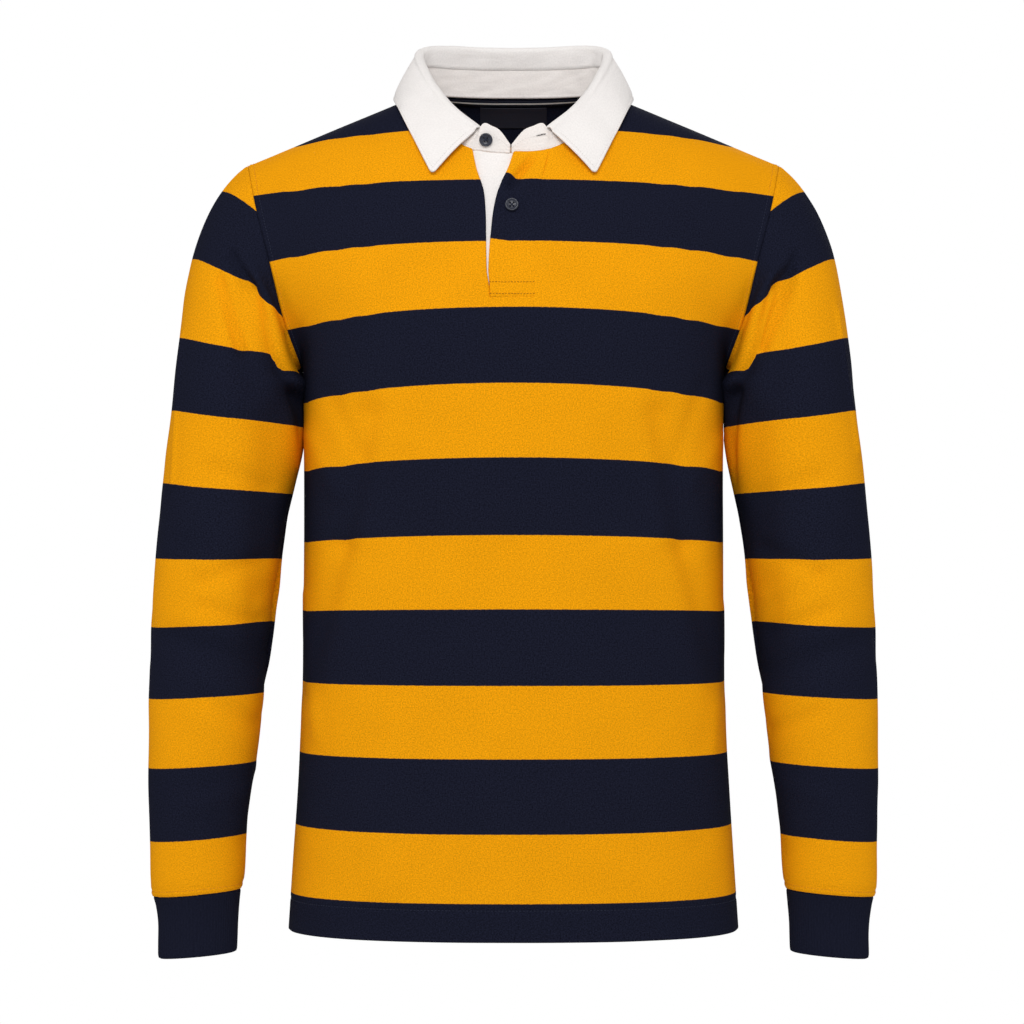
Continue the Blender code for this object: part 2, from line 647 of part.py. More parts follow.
draw_back(stand_out, stand_in, (0,), (1,), PULL)

# Cloth pieces as solids
piece("front", front_out, front_in, front_kept)
piece("back", back_out, back_in)
piece("sleeve_left", sleeve_out, sleeve_in, closed=True)
piece("sleeve_right", mirrored(sleeve_out), mirrored(sleeve_in), closed=True)

cuff_rows = np.array([1, 0.62, 0.3, 0.12, 0])[:, None]
cuff_out = tube_ring(CUFF, cuff_rows, SLEEVE_ROUND[None, :])
cuff_in = cuff_out - normals(cuff_out, closed=True) * RIB_THICKNESS
piece("cuff_left", cuff_out, cuff_in, closed=True)
piece("cuff_right", mirrored(cuff_out), mirrored(cuff_in), closed=True)
piece("collar_stand", stand_out, stand_in)


def collar_leaf():
    """The leaf starts on top of the stand inside the neck, rises to the crest, folds over and falls
    outside to its edge. Rows run from that edge, over the crest, down to the stand."""
    around = STAND_ROUND[covered]
    shape = look_up(COLLAR, np.abs(around))
    crest, edge = signed(shape[:, 3:6], around), signed(shape[:, 6:9], around)
    top_out, top_in = stand_out[-1, covered], stand_in[-1, covered]
    rise = unit(crest - top_out)
    fall = edge - crest
    outward = unit(fall - (fall * rise).sum(-1, keepdims=True) * rise)
    rows = []
    outer_start = crest + FOLD_RADIUS * (outward - rise)
    for share, bulge in ((0, 0), (0.33, 1.6), (0.66, 2.0), (1, 0)):
        rows.append(edge + (outer_start - edge) * share + outward * bulge)
    for angle in np.radians([45, 90, 135, 180]):
        rows.append(crest + FOLD_RADIUS * (outward * np.cos(angle) - rise * (1 - np.sin(angle))))
    rows.append(top_in + rise * 2 * SEAM_GAP)
    outer = np.stack(rows)
    inner = outer - normals(outer) * COLLAR_THICKNESS
    inner[-1] = top_out + rise * 2 * SEAM_GAP
    draw_back(outer, inner, LEFT_EDGE, (slice(None), 1), 2 * PULL)
    draw_back(outer, inner, RIGHT_EDGE, (slice(None), -2), 2 * PULL)
    return outer, inner


leaf_out, leaf_in = collar_leaf()
piece("collar_leaf", leaf_out, leaf_in)


def placket_strip(foot, top, rows, depth, thickness):
    """A strip on the line of the front: foot and top give its columns, depth how far it lies behind."""
    rise = np.clip((rows - PLACKET_FOOT) / (1 - PLACKET_FOOT), 0, 1)[:, None] ** OPENING_CURVE
    grid = body(foot + (top - foot) * rise, rows[:, None], -1)
    normal = normals(grid)
    return grid - normal * depth, grid - normal * (depth + thickness)


OVERLAP_ROUND = np.array([OVERLAP_EDGE[1], *STAND_END[::-1, 0]])
top_foot = across_at(np.linspace(OVERLAP_EDGE[0], SEWN_EDGE[0], len(OVERLAP_ROUND)), PLACKET_FOOT, -1)
top_out, top_in = placket_strip(top_foot, neck_across(OVERLAP_ROUND, -1), PLACKET_ROWS, 0, PLACKET_THICKNESS)
top_in[-1, 1:] = neck_in[:len(STAND_END)]
top_in[-1, 0] = top_out[-1, 0] + top_in[-1, 1] - top_out[-1, 1]
for edge, near in (((-1,), (-2,)), ((0,), (1,)), (RIGHT_EDGE, (slice(None), -2))):
    draw_back(top_out, top_in, edge, near, PULL)
piece("placket_top", top_out, top_in)

under_foot = across_at(np.linspace(SLIT_EDGE[0] - 6, SEWN_EDGE[0] - 4, 5), PLACKET_FOOT, -1)
under_top = np.linspace(neck_across(-0.88, -1), neck_across(0.935, -1), 5)
under_rows = np.concatenate([[PLACKET_FOOT - 0.015], PLACKET_ROWS[1:-1], [0.996]])
behind = JERSEY_THICKNESS + 1.5 * LAY_GAP
piece("placket_under", *placket_strip(under_foot, under_top, under_rows, behind, PLACKET_THICKNESS))


def sampled(grid, rows, columns):
    """Points of a grid at whole and part rows and columns."""
    down = np.stack([np.interp(rows, np.arange(grid.shape[0]), grid[:, c, k])
                     for c in range(grid.shape[1]) for k in range(3)], -1)
    down = down.reshape(len(rows), grid.shape[1], 3)
    across = np.stack([np.interp(columns, np.arange(grid.shape[1]), down[r, :, k])
                       for r in range(len(rows)) for k in range(3)], -1)
    return across.reshape(len(columns), len(rows), 3).transpose(1, 0, 2)


def laid_inside_back(reach, near_top, height, thickness):
    """A flat piece on the inside of the back, reaching sideways, its upper edge below the neck seam."""
    top = len(ROWS) - 1
    row_height = np.linalg.norm(back_in[top, len(back_across) // 2] - back_in[top - 1, len(back_across) // 2])
    low, high = top - (near_top + height) / row_height, top - near_top / row_height
    rows = np.unique([low, *np.arange(np.ceil(low), high), high])
    side = back_in[int(low), :, 0]
    columns = np.interp([-reach, reach], -side, np.arange(len(side)))
    columns = np.unique([columns[0], *np.arange(np.ceil(columns[0]), columns[1]), columns[1]])
    points = sampled(back_in, rows, columns)
    normal = unit(sampled(back_normal, rows, columns))
    return points - normal * BACK_GAP, points - normal * (BACK_GAP + thickness)


piece("neck_tape", *laid_inside_back(TAPE_REACH, 1.5, TAPE_WIDTH, TAPE_THICKNESS))
piece("neck_label", *laid_inside_back(LABEL_SIZE[0] / 2, LABEL_TOP, LABEL_SIZE[1], LABEL_THICKNESS))


def button(name, place, normal):
    """A four-hole button with a raised rim, turned round its axis and set just clear of the cloth."""
    radius = BUTTON_DIAMETER / 2
    profile = [
        (0, 0),
        (radius - 0.9, 0),
        (radius, 0.8),
        (radius, BUTTON_HEIGHT - 0.6),
        (radius - 0.6, BUTTON_HEIGHT),
        (radius - BUTTON_RIM, BUTTON_HEIGHT - 0.2),
        (radius - BUTTON_RIM - 0.6, BUTTON_HEIGHT - 0.8),
        (0, BUTTON_HEIGHT - 0.9),
    ]
    bm = bmesh.new()
    points = [bm.verts.new((r * MM, 0, z * MM)) for r, z in profile]
    for start, end in zip(points, points[1:]):
        bm.edges.new((start, end))
    thing = finish(name, bm)
    turn = thing.modifiers.new("Turned", "SCREW")
    turn.steps = turn.render_steps = BUTTON_STEPS
    turn.use_merge_vertices = True
    turn.merge_threshold = 0.00005
    turn.use_normal_calculate = True
    turn.use_smooth_shade = True

    bm = bmesh.new()
    for corner in range(4):
        angle = np.radians(45 + 90 * corner)
        offset = HOLE_SPACING / 2 ** 0.5 * MM
        centre = Matrix.Translation((offset * np.cos(angle), offset * np.sin(angle), 0))
        bmesh.ops.create_cone(bm, cap_ends=True, segments=8, radius1=HOLE_DIAMETER / 2 * MM,
                              radius2=HOLE_DIAMETER / 2 * MM, depth=4 * BUTTON_HEIGHT * MM, matrix=centre)
    mesh = bpy.data.meshes.new(name + "_holes")
    bm.to_mesh(mesh)
    bm.free()
    holes = bpy.data.objects.new(name + "_holes", mesh)
    collection.objects.link(holes)
    holes.hide_render = True
    holes.display_type = "WIRE"
    cut = thing.modifiers.new("Holes", "BOOLEAN")
    cut.operation = "DIFFERENCE"
    cut.solver = "EXACT"
    cut.object = holes

    facing = Vector(normal.tolist()).to_track_quat("Z", "Y").to_matrix().to_4x4()
    thing.matrix_world = Matrix.Translation(Vector(((place + normal * BUTTON_LIFT) * MM).tolist())) @ facing
    holes.matrix_world = thing.matrix_world
    return thing


def on_grid(outer, x, z):
    """The point and normal of an outer face nearest to a place in the front view."""
    normal = normals(outer)
    rows, columns = outer.shape[:2]
    fine_rows, fine_columns = np.linspace(0, rows - 1, 200), np.linspace(0, columns - 1, 200)

    def refine(grid):
        along = np.stack([np.interp(fine_rows, np.arange(rows), grid[:, c, k])
                          for c in range(columns) for k in range(3)]).reshape(columns, 3, -1)
        return np.stack([np.interp(fine_columns, np.arange(columns), along[:, k, r])
                         for r in range(200) for k in range(3)]).reshape(200, 3, -1).transpose(0, 2, 1)

    points, directions = refine(outer), unit(refine(normal))
    distance = np.hypot(points[..., 0] - x, points[..., 2] - z)
    nearest = np.unravel_index(distance.argmin(), distance.shape)
    return points[nearest], directions[nearest]


button("button_placket", *on_grid(top_out, *PLACKET_BUTTON))
button("button_collar", *on_grid(stand_out[:, -5:], *COLLAR_BUTTON))
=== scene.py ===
import bmesh
import bpy
import numpy as np
from mathutils import Matrix, Vector


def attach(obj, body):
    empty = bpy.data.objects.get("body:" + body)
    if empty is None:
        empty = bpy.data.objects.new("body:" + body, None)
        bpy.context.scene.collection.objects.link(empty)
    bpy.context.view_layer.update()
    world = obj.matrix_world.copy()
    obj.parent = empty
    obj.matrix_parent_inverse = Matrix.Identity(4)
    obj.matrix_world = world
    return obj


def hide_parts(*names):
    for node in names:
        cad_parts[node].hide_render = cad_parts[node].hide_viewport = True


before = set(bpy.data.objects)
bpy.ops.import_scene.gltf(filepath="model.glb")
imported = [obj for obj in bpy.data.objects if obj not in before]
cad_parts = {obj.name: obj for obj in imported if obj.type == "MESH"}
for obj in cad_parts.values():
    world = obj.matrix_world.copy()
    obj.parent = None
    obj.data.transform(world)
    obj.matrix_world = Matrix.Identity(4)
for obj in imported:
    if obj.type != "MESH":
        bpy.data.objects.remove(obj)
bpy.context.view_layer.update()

# Studio
# The shirt was photographed square on, filled out and hanging free, against a seamless white ground in
# broad soft light from in front and a little above. The floor lies below the view, where a wearer stands.
scene = bpy.context.scene
scene.view_settings.view_transform = "Standard"

CAMERA_PLACE = (-0.00132, -3.2, -0.367)
CAMERA_LENS = 127.86
camera_data = bpy.data.cameras.new("camera")
camera_data.sensor_width = 36
camera_data.lens = CAMERA_LENS
camera = bpy.data.objects.new("camera", camera_data)
camera.location = CAMERA_PLACE
camera.rotation_euler = (np.pi / 2, 0, 0)
scene.collection.objects.link(camera)
scene.camera = camera

# The camera sees plain white behind the shirt, and the cloth gets this much light from all round
ROOM_LIGHT = 0.37
world = bpy.data.worlds.new("studio")
world.use_nodes = True
scene.world = world
sky = world.node_tree
sky.nodes.clear()
seen = sky.nodes.new("ShaderNodeBackground")
seen.inputs["Color"].default_value = (1, 1, 1, 1)
around = sky.nodes.new("ShaderNodeBackground")
around.inputs["Color"].default_value = (1, 1, 1, 1)
around.inputs["Strength"].default_value = ROOM_LIGHT
chosen = sky.nodes.new("ShaderNodeMixShader")
ray = sky.nodes.new("ShaderNodeLightPath")
room = sky.nodes.new("ShaderNodeOutputWorld")
sky.links.new(ray.outputs["Is Camera Ray"], chosen.inputs[0])
sky.links.new(around.outputs[0], chosen.inputs[1])
sky.links.new(seen.outputs[0], chosen.inputs[2])
sky.links.new(chosen.outputs[0], room.inputs["Surface"])

# name, place, aimed at, width, height, power
SOFTBOXES = [
    ("front_light", (-0.15, -2.6, 1.3), (0, 0, -0.25), 1.8, 1.2, 54),
    ("left_light", (-2.6, -0.9, 0.3), (0, 0, -0.35), 1.2, 2.0, 13),
    ("right_light", (2.6, -0.9, 0.3), (0, 0, -0.35), 1.2, 2.0, 12),
    ("back_light", (0.4, 2.8, 1.2), (0, 0, -0.35), 2.0, 1.6, 40),
]
for name, place, target, width, height, power in SOFTBOXES:
    light = bpy.data.lights.new(name, "AREA")
    light.shape = "RECTANGLE"
    light.size, light.size_y = width, height
    light.energy = power
    lamp = bpy.data.objects.new(name, light)
    lamp.location = place
    lamp.rotation_euler = (Vector(target) - Vector(place)).to_track_quat("-Z", "Y").to_euler()
    scene.collection.objects.link(lamp)

FLOOR_HEIGHT = -1.42
FLOOR_REACH = 12.0
FLOOR_BACK = 4.1
floor_mesh = bpy.data.meshes.new("floor")
floor_mesh.from_pydata(
    [(-FLOOR_REACH, -FLOOR_REACH, FLOOR_HEIGHT), (FLOOR_REACH, -FLOOR_REACH, FLOOR_HEIGHT),
     (FLOOR_REACH, FLOOR_BACK, FLOOR_HEIGHT), (-FLOOR_REACH, FLOOR_BACK, FLOOR_HEIGHT)], [], [(0, 1, 2, 3)])
floor = bpy.data.objects.new("floor", floor_mesh)
scene.collection.objects.link(floor)
floor_paint = bpy.data.materials.new("floor_paint")
floor_paint.use_nodes = True
floor_shader = floor_paint.node_tree.nodes["Principled BSDF"]
floor_shader.inputs["Base Color"].default_value = (0.75, 0.75, 0.74, 1)
floor_shader.inputs["Roughness"].default_value = 0.9
floor_mesh.materials.append(floor_paint)

# Front
# One panel of heavy cotton jersey with knitted-in hoops, cut open down the middle from the neck to the
# placket's foot. Its sides curve round to the side seams, and its hem is turned up and stitched.
MM = 0.001
JERSEY_THICKNESS = 1.6
HEM_THICKNESS = 2.8

# Girth of the body below the armholes, seen from above
# height, half width, front depth, back depth
TORSO = np.array([
    (-731, 197.5, 121, 116),
    (-664, 193, 120, 113),
    (-576, 187.5, 118, 107),
    (-488, 185, 117, 102),
    (-400, 184, 118, 103),
    (-320, 184, 122, 109),
    (-244, 185, 124, 114),
], float)
HEM_HEIGHT, UNDERARM_HEIGHT = TORSO[0, 0], TORSO[-1, 0]
GIRTH_SQUARENESS = 2.4

NECK_HALF_WIDTH = 78.0
NECK_FRONT_Y = -89.0
NECK_BACK_Y = 57.0
NECK_FRONT_SQUARENESS = 2.8
NECK_BACK_SQUARENESS = 2.2
NECK_POINT = (78.0, 4.0, 1.5)
SHOULDER_POINT = (234.0, 4.0, -62.0)
NECK_SHARE = NECK_POINT[0] / SHOULDER_POINT[0]
# Columns from the middle to the neck point, closer together towards it
NECK_COLUMNS = NECK_SHARE * np.sin(np.linspace(0, np.pi / 2, 60))
FRONT_SQUARENESS = 2.1
BACK_SQUARENESS = 2.75
SHOULDER_LEAN = 0.8
# How sharply the armhole's shape fades out across a panel: a power high up, and what is added at the underarm
ARMHOLE_PULL = (3, 14)

# Armhole seams, from the underarm (0) to the shoulder point (1)
# share, x, y, z
ARMHOLE_FRONT = np.array([
    (0.00, 185, 0, -244),
    (0.10, 187, -22, -236),
    (0.30, 200, -49, -198),
    (0.50, 211, -55, -152),
    (0.75, 225, -37, -99),
    (0.90, 231, -16, -73),
    (1.00, *SHOULDER_POINT),
], float)
ARMHOLE_BACK = np.array([
    (0.00, 185, 0, -244),
    (0.10, 188, 20, -237),
    (0.30, 205, 45, -201),
    (0.50, 218, 53, -154),
    (0.75, 229, 41, -100),
    (0.90, 233, 24, -73),
    (1.00, *SHOULDER_POINT),
], float)

# Placket: where its edges run, as distances sideways at its foot and shares round the neckline at its top
PLACKET_FOOT = 0.31
SLIT_EDGE = (-20.5, -0.91)
OPENING_CURVE = 2.8
SEWN_EDGE = (17.5, 0.91)

# Soft folds, alike on both sides of the body: the line of each as seen from the front, how far it fades
# out sideways, and its height above the smooth cloth (below it where negative)
# facing, x start, z start, x end, z end, spread, height
BODY_FOLDS = np.array([
    (-1, 107, -270, 128, -387, 11, 2.0),
    (-1, 128, -387, 168, -540, 12, 2.2),
    (-1, 124, -285, 147, -392, 13, -7.0),
    (-1, 148, -400, 181, -520, 11, -5.5),
    (-1, 88, -300, 92, -372, 14, -1.4),
    (1, 120, -250, 150, -400, 24, 2.6),
    (1, 60, -430, 150, -470, 22, -3.2),
    (1, 50, -520, 160, -590, 26, 2.6),
], float)


def look_up(table, at):
    """The table's other columns at any value of its first, on a smooth curve through its rows."""
    knots, values = table[:, 0], table[:, 1:]
    slopes = np.gradient(values, knots, axis=0)
    at = np.clip(np.asarray(at, float), knots[0], knots[-1])
    row = np.clip(np.searchsorted(knots, at, side="right") - 1, 0, len(knots) - 2)
    step = (knots[row + 1] - knots[row])[..., None]
    t = (at - knots[row])[..., None] / step
    start, end = values[row], values[row + 1]
    rise = t * t * (3 - 2 * t)
    leave = t * (1 - t) ** 2 * slopes[row]
    arrive = t * t * (t - 1) * slopes[row + 1]
    return start + (end - start) * rise + (leave + arrive) * step


def superellipse(share, squareness, width, height):
    """Sideways and upward share of a quarter superellipse, at even shares of its length from the side."""
    angle = np.linspace(0, np.pi / 2, 400)
    inward = 1 - np.cos(angle) ** (2 / squareness)
    upward = np.sin(angle) ** (2 / squareness)
    length = np.hypot(np.diff(inward) * width, np.diff(upward) * height)
    gone = np.concatenate([[0], np.cumsum(length)]) / length.sum()
    return np.interp(share, gone, inward), np.interp(share, gone, upward)


def ridge(across):
    """The shoulder line, carried on smoothly over the neck opening."""
    x = np.abs(across) * SHOULDER_POINT[0]
    slope = (SHOULDER_POINT[2] - NECK_POINT[2]) / (SHOULDER_POINT[0] - NECK_POINT[0])
    inside = NECK_POINT[2] + slope * (x ** 2 - NECK_POINT[0] ** 2) / (2 * NECK_POINT[0])
    outside = NECK_POINT[2] + slope * (x - NECK_POINT[0])
    z = np.where(x < NECK_POINT[0], inside, outside)
    return np.stack([np.sign(across) * x, np.full_like(x, NECK_POINT[1]), z], -1)


def yoke(across, rise, facing):
    """The body's outer face from the underarm (rise 0) to the shoulder line (1), with no neck cut out."""
    across, rise = np.broadcast_arrays(np.asarray(across, float), np.asarray(rise, float))
    half_width, front, back = TORSO[-1, 1:]
    inward, forward = superellipse(1 - np.abs(across), GIRTH_SQUARENESS, half_width, front)
    depth = front if facing < 0 else back
    low_x, low_y = np.sign(across) * half_width * (1 - inward), facing * depth * forward
    low = np.stack([low_x, low_y, np.full_like(low_x, UNDERARM_HEIGHT)], -1)
    squareness = FRONT_SQUARENESS if facing < 0 else BACK_SQUARENESS
    lean, climb = superellipse(rise, squareness, depth, -UNDERARM_HEIGHT)
    towards_ridge = np.stack([lean ** SHOULDER_LEAN * rise, lean, climb], -1)
    high = low + (ridge(across) - low) * towards_ridge

    edge = look_up(ARMHOLE_FRONT if facing < 0 else ARMHOLE_BACK, rise)
    rim = np.array([half_width, 0, UNDERARM_HEIGHT])
    rim = rim + (ridge(1.0) - rim) * towards_ridge
    pull = np.abs(across) ** (ARMHOLE_PULL[0] + ARMHOLE_PULL[1] * (1 - rise) ** 8)
    shift = (edge - rim) * pull[..., None]
    shift[..., 0] *= np.sign(across)
    return high + shift


def neck_plan(points, facing):
    """The two terms of the neck opening's superellipse, seen from above: they add up to 1 on the seam."""
    reach = (NECK_FRONT_Y if facing < 0 else NECK_BACK_Y) - NECK_POINT[1]
    squareness = NECK_FRONT_SQUARENESS if facing < 0 else NECK_BACK_SQUARENESS
    sideways = np.abs(points[..., 0] / NECK_HALF_WIDTH) ** squareness
    return sideways, np.maximum((points[..., 1] - NECK_POINT[1]) / reach, 0) ** squareness


def neck_rise(across, facing):
    """How far up a column reaches: the neck seam near the middle, and 1, the shoulder seam, beyond it."""
    rises = np.linspace(0.2, 1, 160)
    plan = yoke(NECK_COLUMNS[:, None], rises[None, :], facing)
    sideways, forward = neck_plan(plan, facing)
    outside = sideways + forward - 1
    cut = [np.interp(0, -row, rises) for row in outside]
    cut[-1] = 1.0
    return np.interp(np.abs(across), NECK_COLUMNS, cut)


def hollow(distance, depth, spread):
    """How deep a rounded hollow is at a distance from its middle, in mm. It is a ridge where it is taken off."""
    return depth * np.exp(-(distance / spread) ** 2)


def off_line(place, x1, z1, x2, z2):
    """The distance of each place in the front view from a straight line between two of its points."""
    start, line = np.array([x1, z1]), np.array([x2 - x1, z2 - z1])
    along = ((place - start) @ line) / (line @ line)
    return np.linalg.norm(place - start - np.clip(along, 0, 1)[..., None] * line, axis=-1)


def raised(points, outward, folds, facing):
    """The points with soft folds added: each is a ridge or hollow along a line drawn in the front view."""
    seen = np.stack([np.abs(points[..., 0]), points[..., 2]], -1)
    height = np.zeros(seen.shape[:-1])
    for side, *line, spread, rise in folds:
        height += np.where(facing == side, hollow(off_line(seen, *line), rise, spread), 0)
    return points + outward * height[..., None]


def body(across, up, facing):
    """A point of the body's outer face. across runs from -1 to 1 between the side seams, up is -1 at the
    hem, 0 at the underarm and 1 at the neck or shoulder seam, and facing is -1 in front and 1 behind."""
    across, up = np.broadcast_arrays(np.asarray(across, float), np.asarray(up, float))
    height = UNDERARM_HEIGHT + np.minimum(up, 0) * (UNDERARM_HEIGHT - HEM_HEIGHT)
    half_width, front, back = np.moveaxis(look_up(TORSO, height), -1, 0)
    inward, forward = superellipse(1 - np.abs(across), GIRTH_SQUARENESS, *TORSO[-1, 1:3])
    depth = front if facing < 0 else back
    low = np.stack([np.sign(across) * half_width * (1 - inward), facing * depth * forward, height], -1)
    high = yoke(across, np.clip(up, 0, 1) * neck_rise(across, facing), facing)
    smooth = np.where((up > 0)[..., None], high, low)
    edge_fade = (1 - np.abs(across) ** 8) * np.clip(4 - 4 * up, 0, 1)
    outward = np.stack([np.sign(across) * (1 - forward), facing * forward, 0 * forward], -1)
    return raised(smooth, outward * edge_fade[..., None], BODY_FOLDS, facing)


def neck_across(around, facing):
    """The column whose neck seam lies at a share round the neckline: 0 centre back, 0.5 side, 1 front."""
    sideways, forward = neck_plan(body(NECK_COLUMNS, 1.0, facing), facing)
    turned = np.arctan2(sideways ** 0.5, forward ** 0.5) / np.pi
    turned[0], turned[-1] = 0.0, 0.5
    share = np.abs(np.asarray(around, float))
    share = 1 - share if facing < 0 else share
    return np.sign(around) * np.interp(share, turned, NECK_COLUMNS)


def across_at(x, up, facing):
    """The column that stands a distance x sideways from the middle at one height."""
    columns = np.linspace(-1, 1, 401)
    return np.interp(x, body(columns, up, facing)[:, 0], columns)


def unit(vectors):
    return vectors / np.maximum(np.linalg.norm(vectors, axis=-1, keepdims=True), 1e-9)


def normals(grid, closed=False):
    """Outward normals of a grid of points: seen from outside, rows run up and columns to the right."""
    wide = np.concatenate([grid, grid[:, :1]], 1) if closed else grid
    cell = np.cross(wide[1:, 1:] - wide[:-1, :-1], wide[1:, :-1] - wide[:-1, 1:])
    total = np.zeros_like(wide)
    for rows in (slice(None, -1), slice(1, None)):
        for columns in (slice(None, -1), slice(1, None)):
            total[rows, columns] += cell
    if closed:
        total[:, 0] += total[:, -1]
        total = total[:, :-1]
    return unit(total)


CLOSE_STEPS = np.array([0, 0.7, 1.5, 2.6, 4.2, 6.4])


def spaced(length, step, start=True, end=True):
    """Shares of a length at even steps in mm, closer together beside an end that is a seam or an edge."""
    if length < 3 * CLOSE_STEPS[-1]:
        return np.linspace(0, 1, 7)
    first = CLOSE_STEPS if start else np.array([0.0])
    last = length - CLOSE_STEPS[::-1] if end else np.array([length])
    count = max(int(round((last[0] - first[-1]) / step)), 1)
    middle = np.linspace(first[-1], last[0], count + 1)[1:-1]
    return np.concatenate([first, middle, last]) / length


# Rows of the body, closer together at the hem's stitches and with one at the placket's foot, and columns
# that lean out to the neck beside the slit
SIDE_LENGTH = UNDERARM_HEIGHT - HEM_HEIGHT
HEM_STITCH = 26.0
PLACKET_LENGTH = 190.0
hem_rows = np.array([0, 0.8, 2, 4, 7.5, 12, 17, 21, 23.5, 25, HEM_STITCH, 27, 28.5, 31, 34.5])
even_rows = np.linspace(38.5, SIDE_LENGTH, 100)
LOW_ROWS = -1 + np.concatenate([hem_rows, even_rows])[:-1] / SIDE_LENGTH
PLACKET_ROWS = PLACKET_FOOT + (1 - PLACKET_FOOT) * spaced(PLACKET_LENGTH, 3.0)
ROWS_BELOW_PLACKET = 22
HIGH_ROWS = np.concatenate([np.linspace(0, PLACKET_FOOT, ROWS_BELOW_PLACKET + 1)[:-1], PLACKET_ROWS])
ROWS = np.concatenate([LOW_ROWS, HIGH_ROWS])
UNDERARM, FOOT = len(LOW_ROWS), len(LOW_ROWS) + ROWS_BELOW_PLACKET
PANEL_QUARTER = 245.0
OUTER_COLUMNS = NECK_SHARE + (1 - NECK_SHARE) * spaced((1 - NECK_SHARE) * PANEL_QUARTER, 4.4, start=False)[1:]
SIDE_ROUND = np.linspace(0.5, 0.85, 20)

right = np.concatenate([-OUTER_COLUMNS[::-1], -neck_across(SIDE_ROUND, -1)])
beside = spaced(25, 3.4, start=False)[1:]
strip = spaced(38, 3.4)[1:-1]


def columns_round(slit, sewn):
    """The front's columns from side to side, with the slit's edge and the strip's seam among them."""
    return np.concatenate([
        right, right[-1] + (slit - right[-1]) * beside, slit + (sewn - slit) * strip,
        (-right[-1] + (sewn + right[-1]) * beside)[::-1], -right[::-1]])


foot = columns_round(*across_at([SLIT_EDGE[0], SEWN_EDGE[0]], PLACKET_FOOT, -1))
top = columns_round(*neck_across([SLIT_EDGE[1], SEWN_EDGE[1]], -1))
SLIT = len(right) + len(beside) - 1
SEWN = SLIT + len(strip) + 1
opening = np.clip((ROWS - PLACKET_FOOT) / (1 - PLACKET_FOOT), 0, 1) ** OPENING_CURVE
front_across = foot + (top - foot) * opening[:, None]
front_kept = np.ones((len(ROWS) - 1, len(foot) - 1), bool)
front_kept[FOOT:, SLIT:SEWN] = False

# Finer creases of the front, each with its own length, as seen from the front
# x start, z start, x end, z end, spread, height
FRONT_CREASES = np.array([
    (26, -51, -3.5, -89, 3.0, -3.8),
    (20.5, -48, -8, -85.5, 3.6, 2.6),
    (35, -57, 9, -94, 6, 1.2),
    (-91, -320, -93, -392, 9, -1.4),
    (105, -318, 108, -384, 9, -1.5),
    (-160, -262, -132, -318, 7, -2.0),
    (163, -258, 138, -326, 7, -1.9),
    (-178, -300, -150, -352, 7, 1.8),
    (179, -306, 152, -344, 7, 1.6),
    (-184, -440, -170, -560, 6, 2.2),
    (185, -452, 171, -575, 6, 2.0),
    (-120, -560, -165, -640, 12, -1.8),
    (122, -545, 160, -650, 12, -1.6),
    (-60, -625, -110, -690, 15, 1.2),
    (40, -610, 95, -676, 16, 1.1),
], float)


def creased(points, outward, creases):
    """The points with narrower creases added, each on its own side of the shirt."""
    height = np.zeros(points.shape[:-1])
    for *line, spread, rise in creases:
        height += hollow(off_line(points[..., [0, 2]], *line), rise, spread)
    return points + outward * height[..., None]


def crease_fade(across):
    """1 over a panel of the body, fading out towards its side seams and its top edge."""
    return (1 - np.abs(across) ** 10) * np.clip(6 - 6 * ROWS[:, None], 0, 1)


def uneven(points, size, height):
    """How far cloth that is filled out by hand stands above or below its smooth shape, in mm."""
    x, y, z = np.moveaxis(points / size, -1, 0)
    coarse = np.sin(x + 1.7 * np.sin(z * 0.7 + y)) * np.sin(z * 1.1 + 1.3 * np.sin(x * 0.8 - y))
    fine = np.sin(2.3 * x - 1.1 * z + 2 * np.sin(y + z)) * np.sin(1.9 * z + 0.7 * x)
    return height * (coarse + 0.5 * fine)


def seam_dip(distance):
    """The hollow beside a plain seam, in mm below the cloth, at a distance from it."""
    return hollow(distance, 0.45, 1.1) - hollow(distance - 3.6, 0.2, 1.8)


def topstitched_dip(distance, stitched):
    """The same beside a seam whose allowance is turned under this panel and stitched down."""
    return seam_dip(distance) - hollow(distance - stitched / 2, 0.35, 1.7) + hollow(distance - stitched, 0.4, 1.1)


def hem_dip(distance):
    """The hollow along the hem's stitches."""
    return hollow(distance, 0.55, 1.6)


def run_up(grid):
    """The length of cloth from the first row up to each point, along its column."""
    steps = np.linalg.norm(np.diff(grid, axis=0), axis=-1)
    return np.concatenate([np.zeros((1, grid.shape[1])), np.cumsum(steps, axis=0)])


def run_across(grid):
    """The same from the first column, along each row."""
    return run_up(grid.transpose(1, 0, 2)).T


def lengths(facing, across):
    """How far the cloth has run up from the hem at each row, along columns that keep their place."""
    columns = np.concatenate([NECK_COLUMNS, np.linspace(NECK_SHARE, 1, 61)[1:]])
    run = run_up(body(columns, ROWS[:, None], facing))
    return np.stack([np.interp(np.abs(row_across), columns, row) for row_across, row in zip(across, run)])


# How the hoops drift from even lengths up the cloth
# length, shift at the middle, further shift towards the sides
HOOP_DRIFT = np.array([
    (31, 0, 0), (90, 2, -2), (154, 1.7, -1), (216, 0, 0), (281, -1.5, 4), (344, -4, 9),
    (411, -6.5, 15), (474, -9, 20), (539, -10, 20), (595, -6.5, 14), (649, 1, 6), (705, 11, -11),
], float)
SIDE_DRIFT_LIMIT = 0.7
STITCH_INSET = 5.2
# Where the hoops start to run straight to the armholes, in from there where their slope is taken, and over
# what share of the panel they go over to it
STRAIGHT_FROM, SLOPE_FROM, STRAIGHT_OVER = 0.70, 0.58, 0.16
# Further bend of the hoops towards the armholes, at the underarm and at the shoulders
HOOP_BEND = (0.0015, 0.0005)
BEND_HEIGHTS = (UNDERARM_HEIGHT, -90)


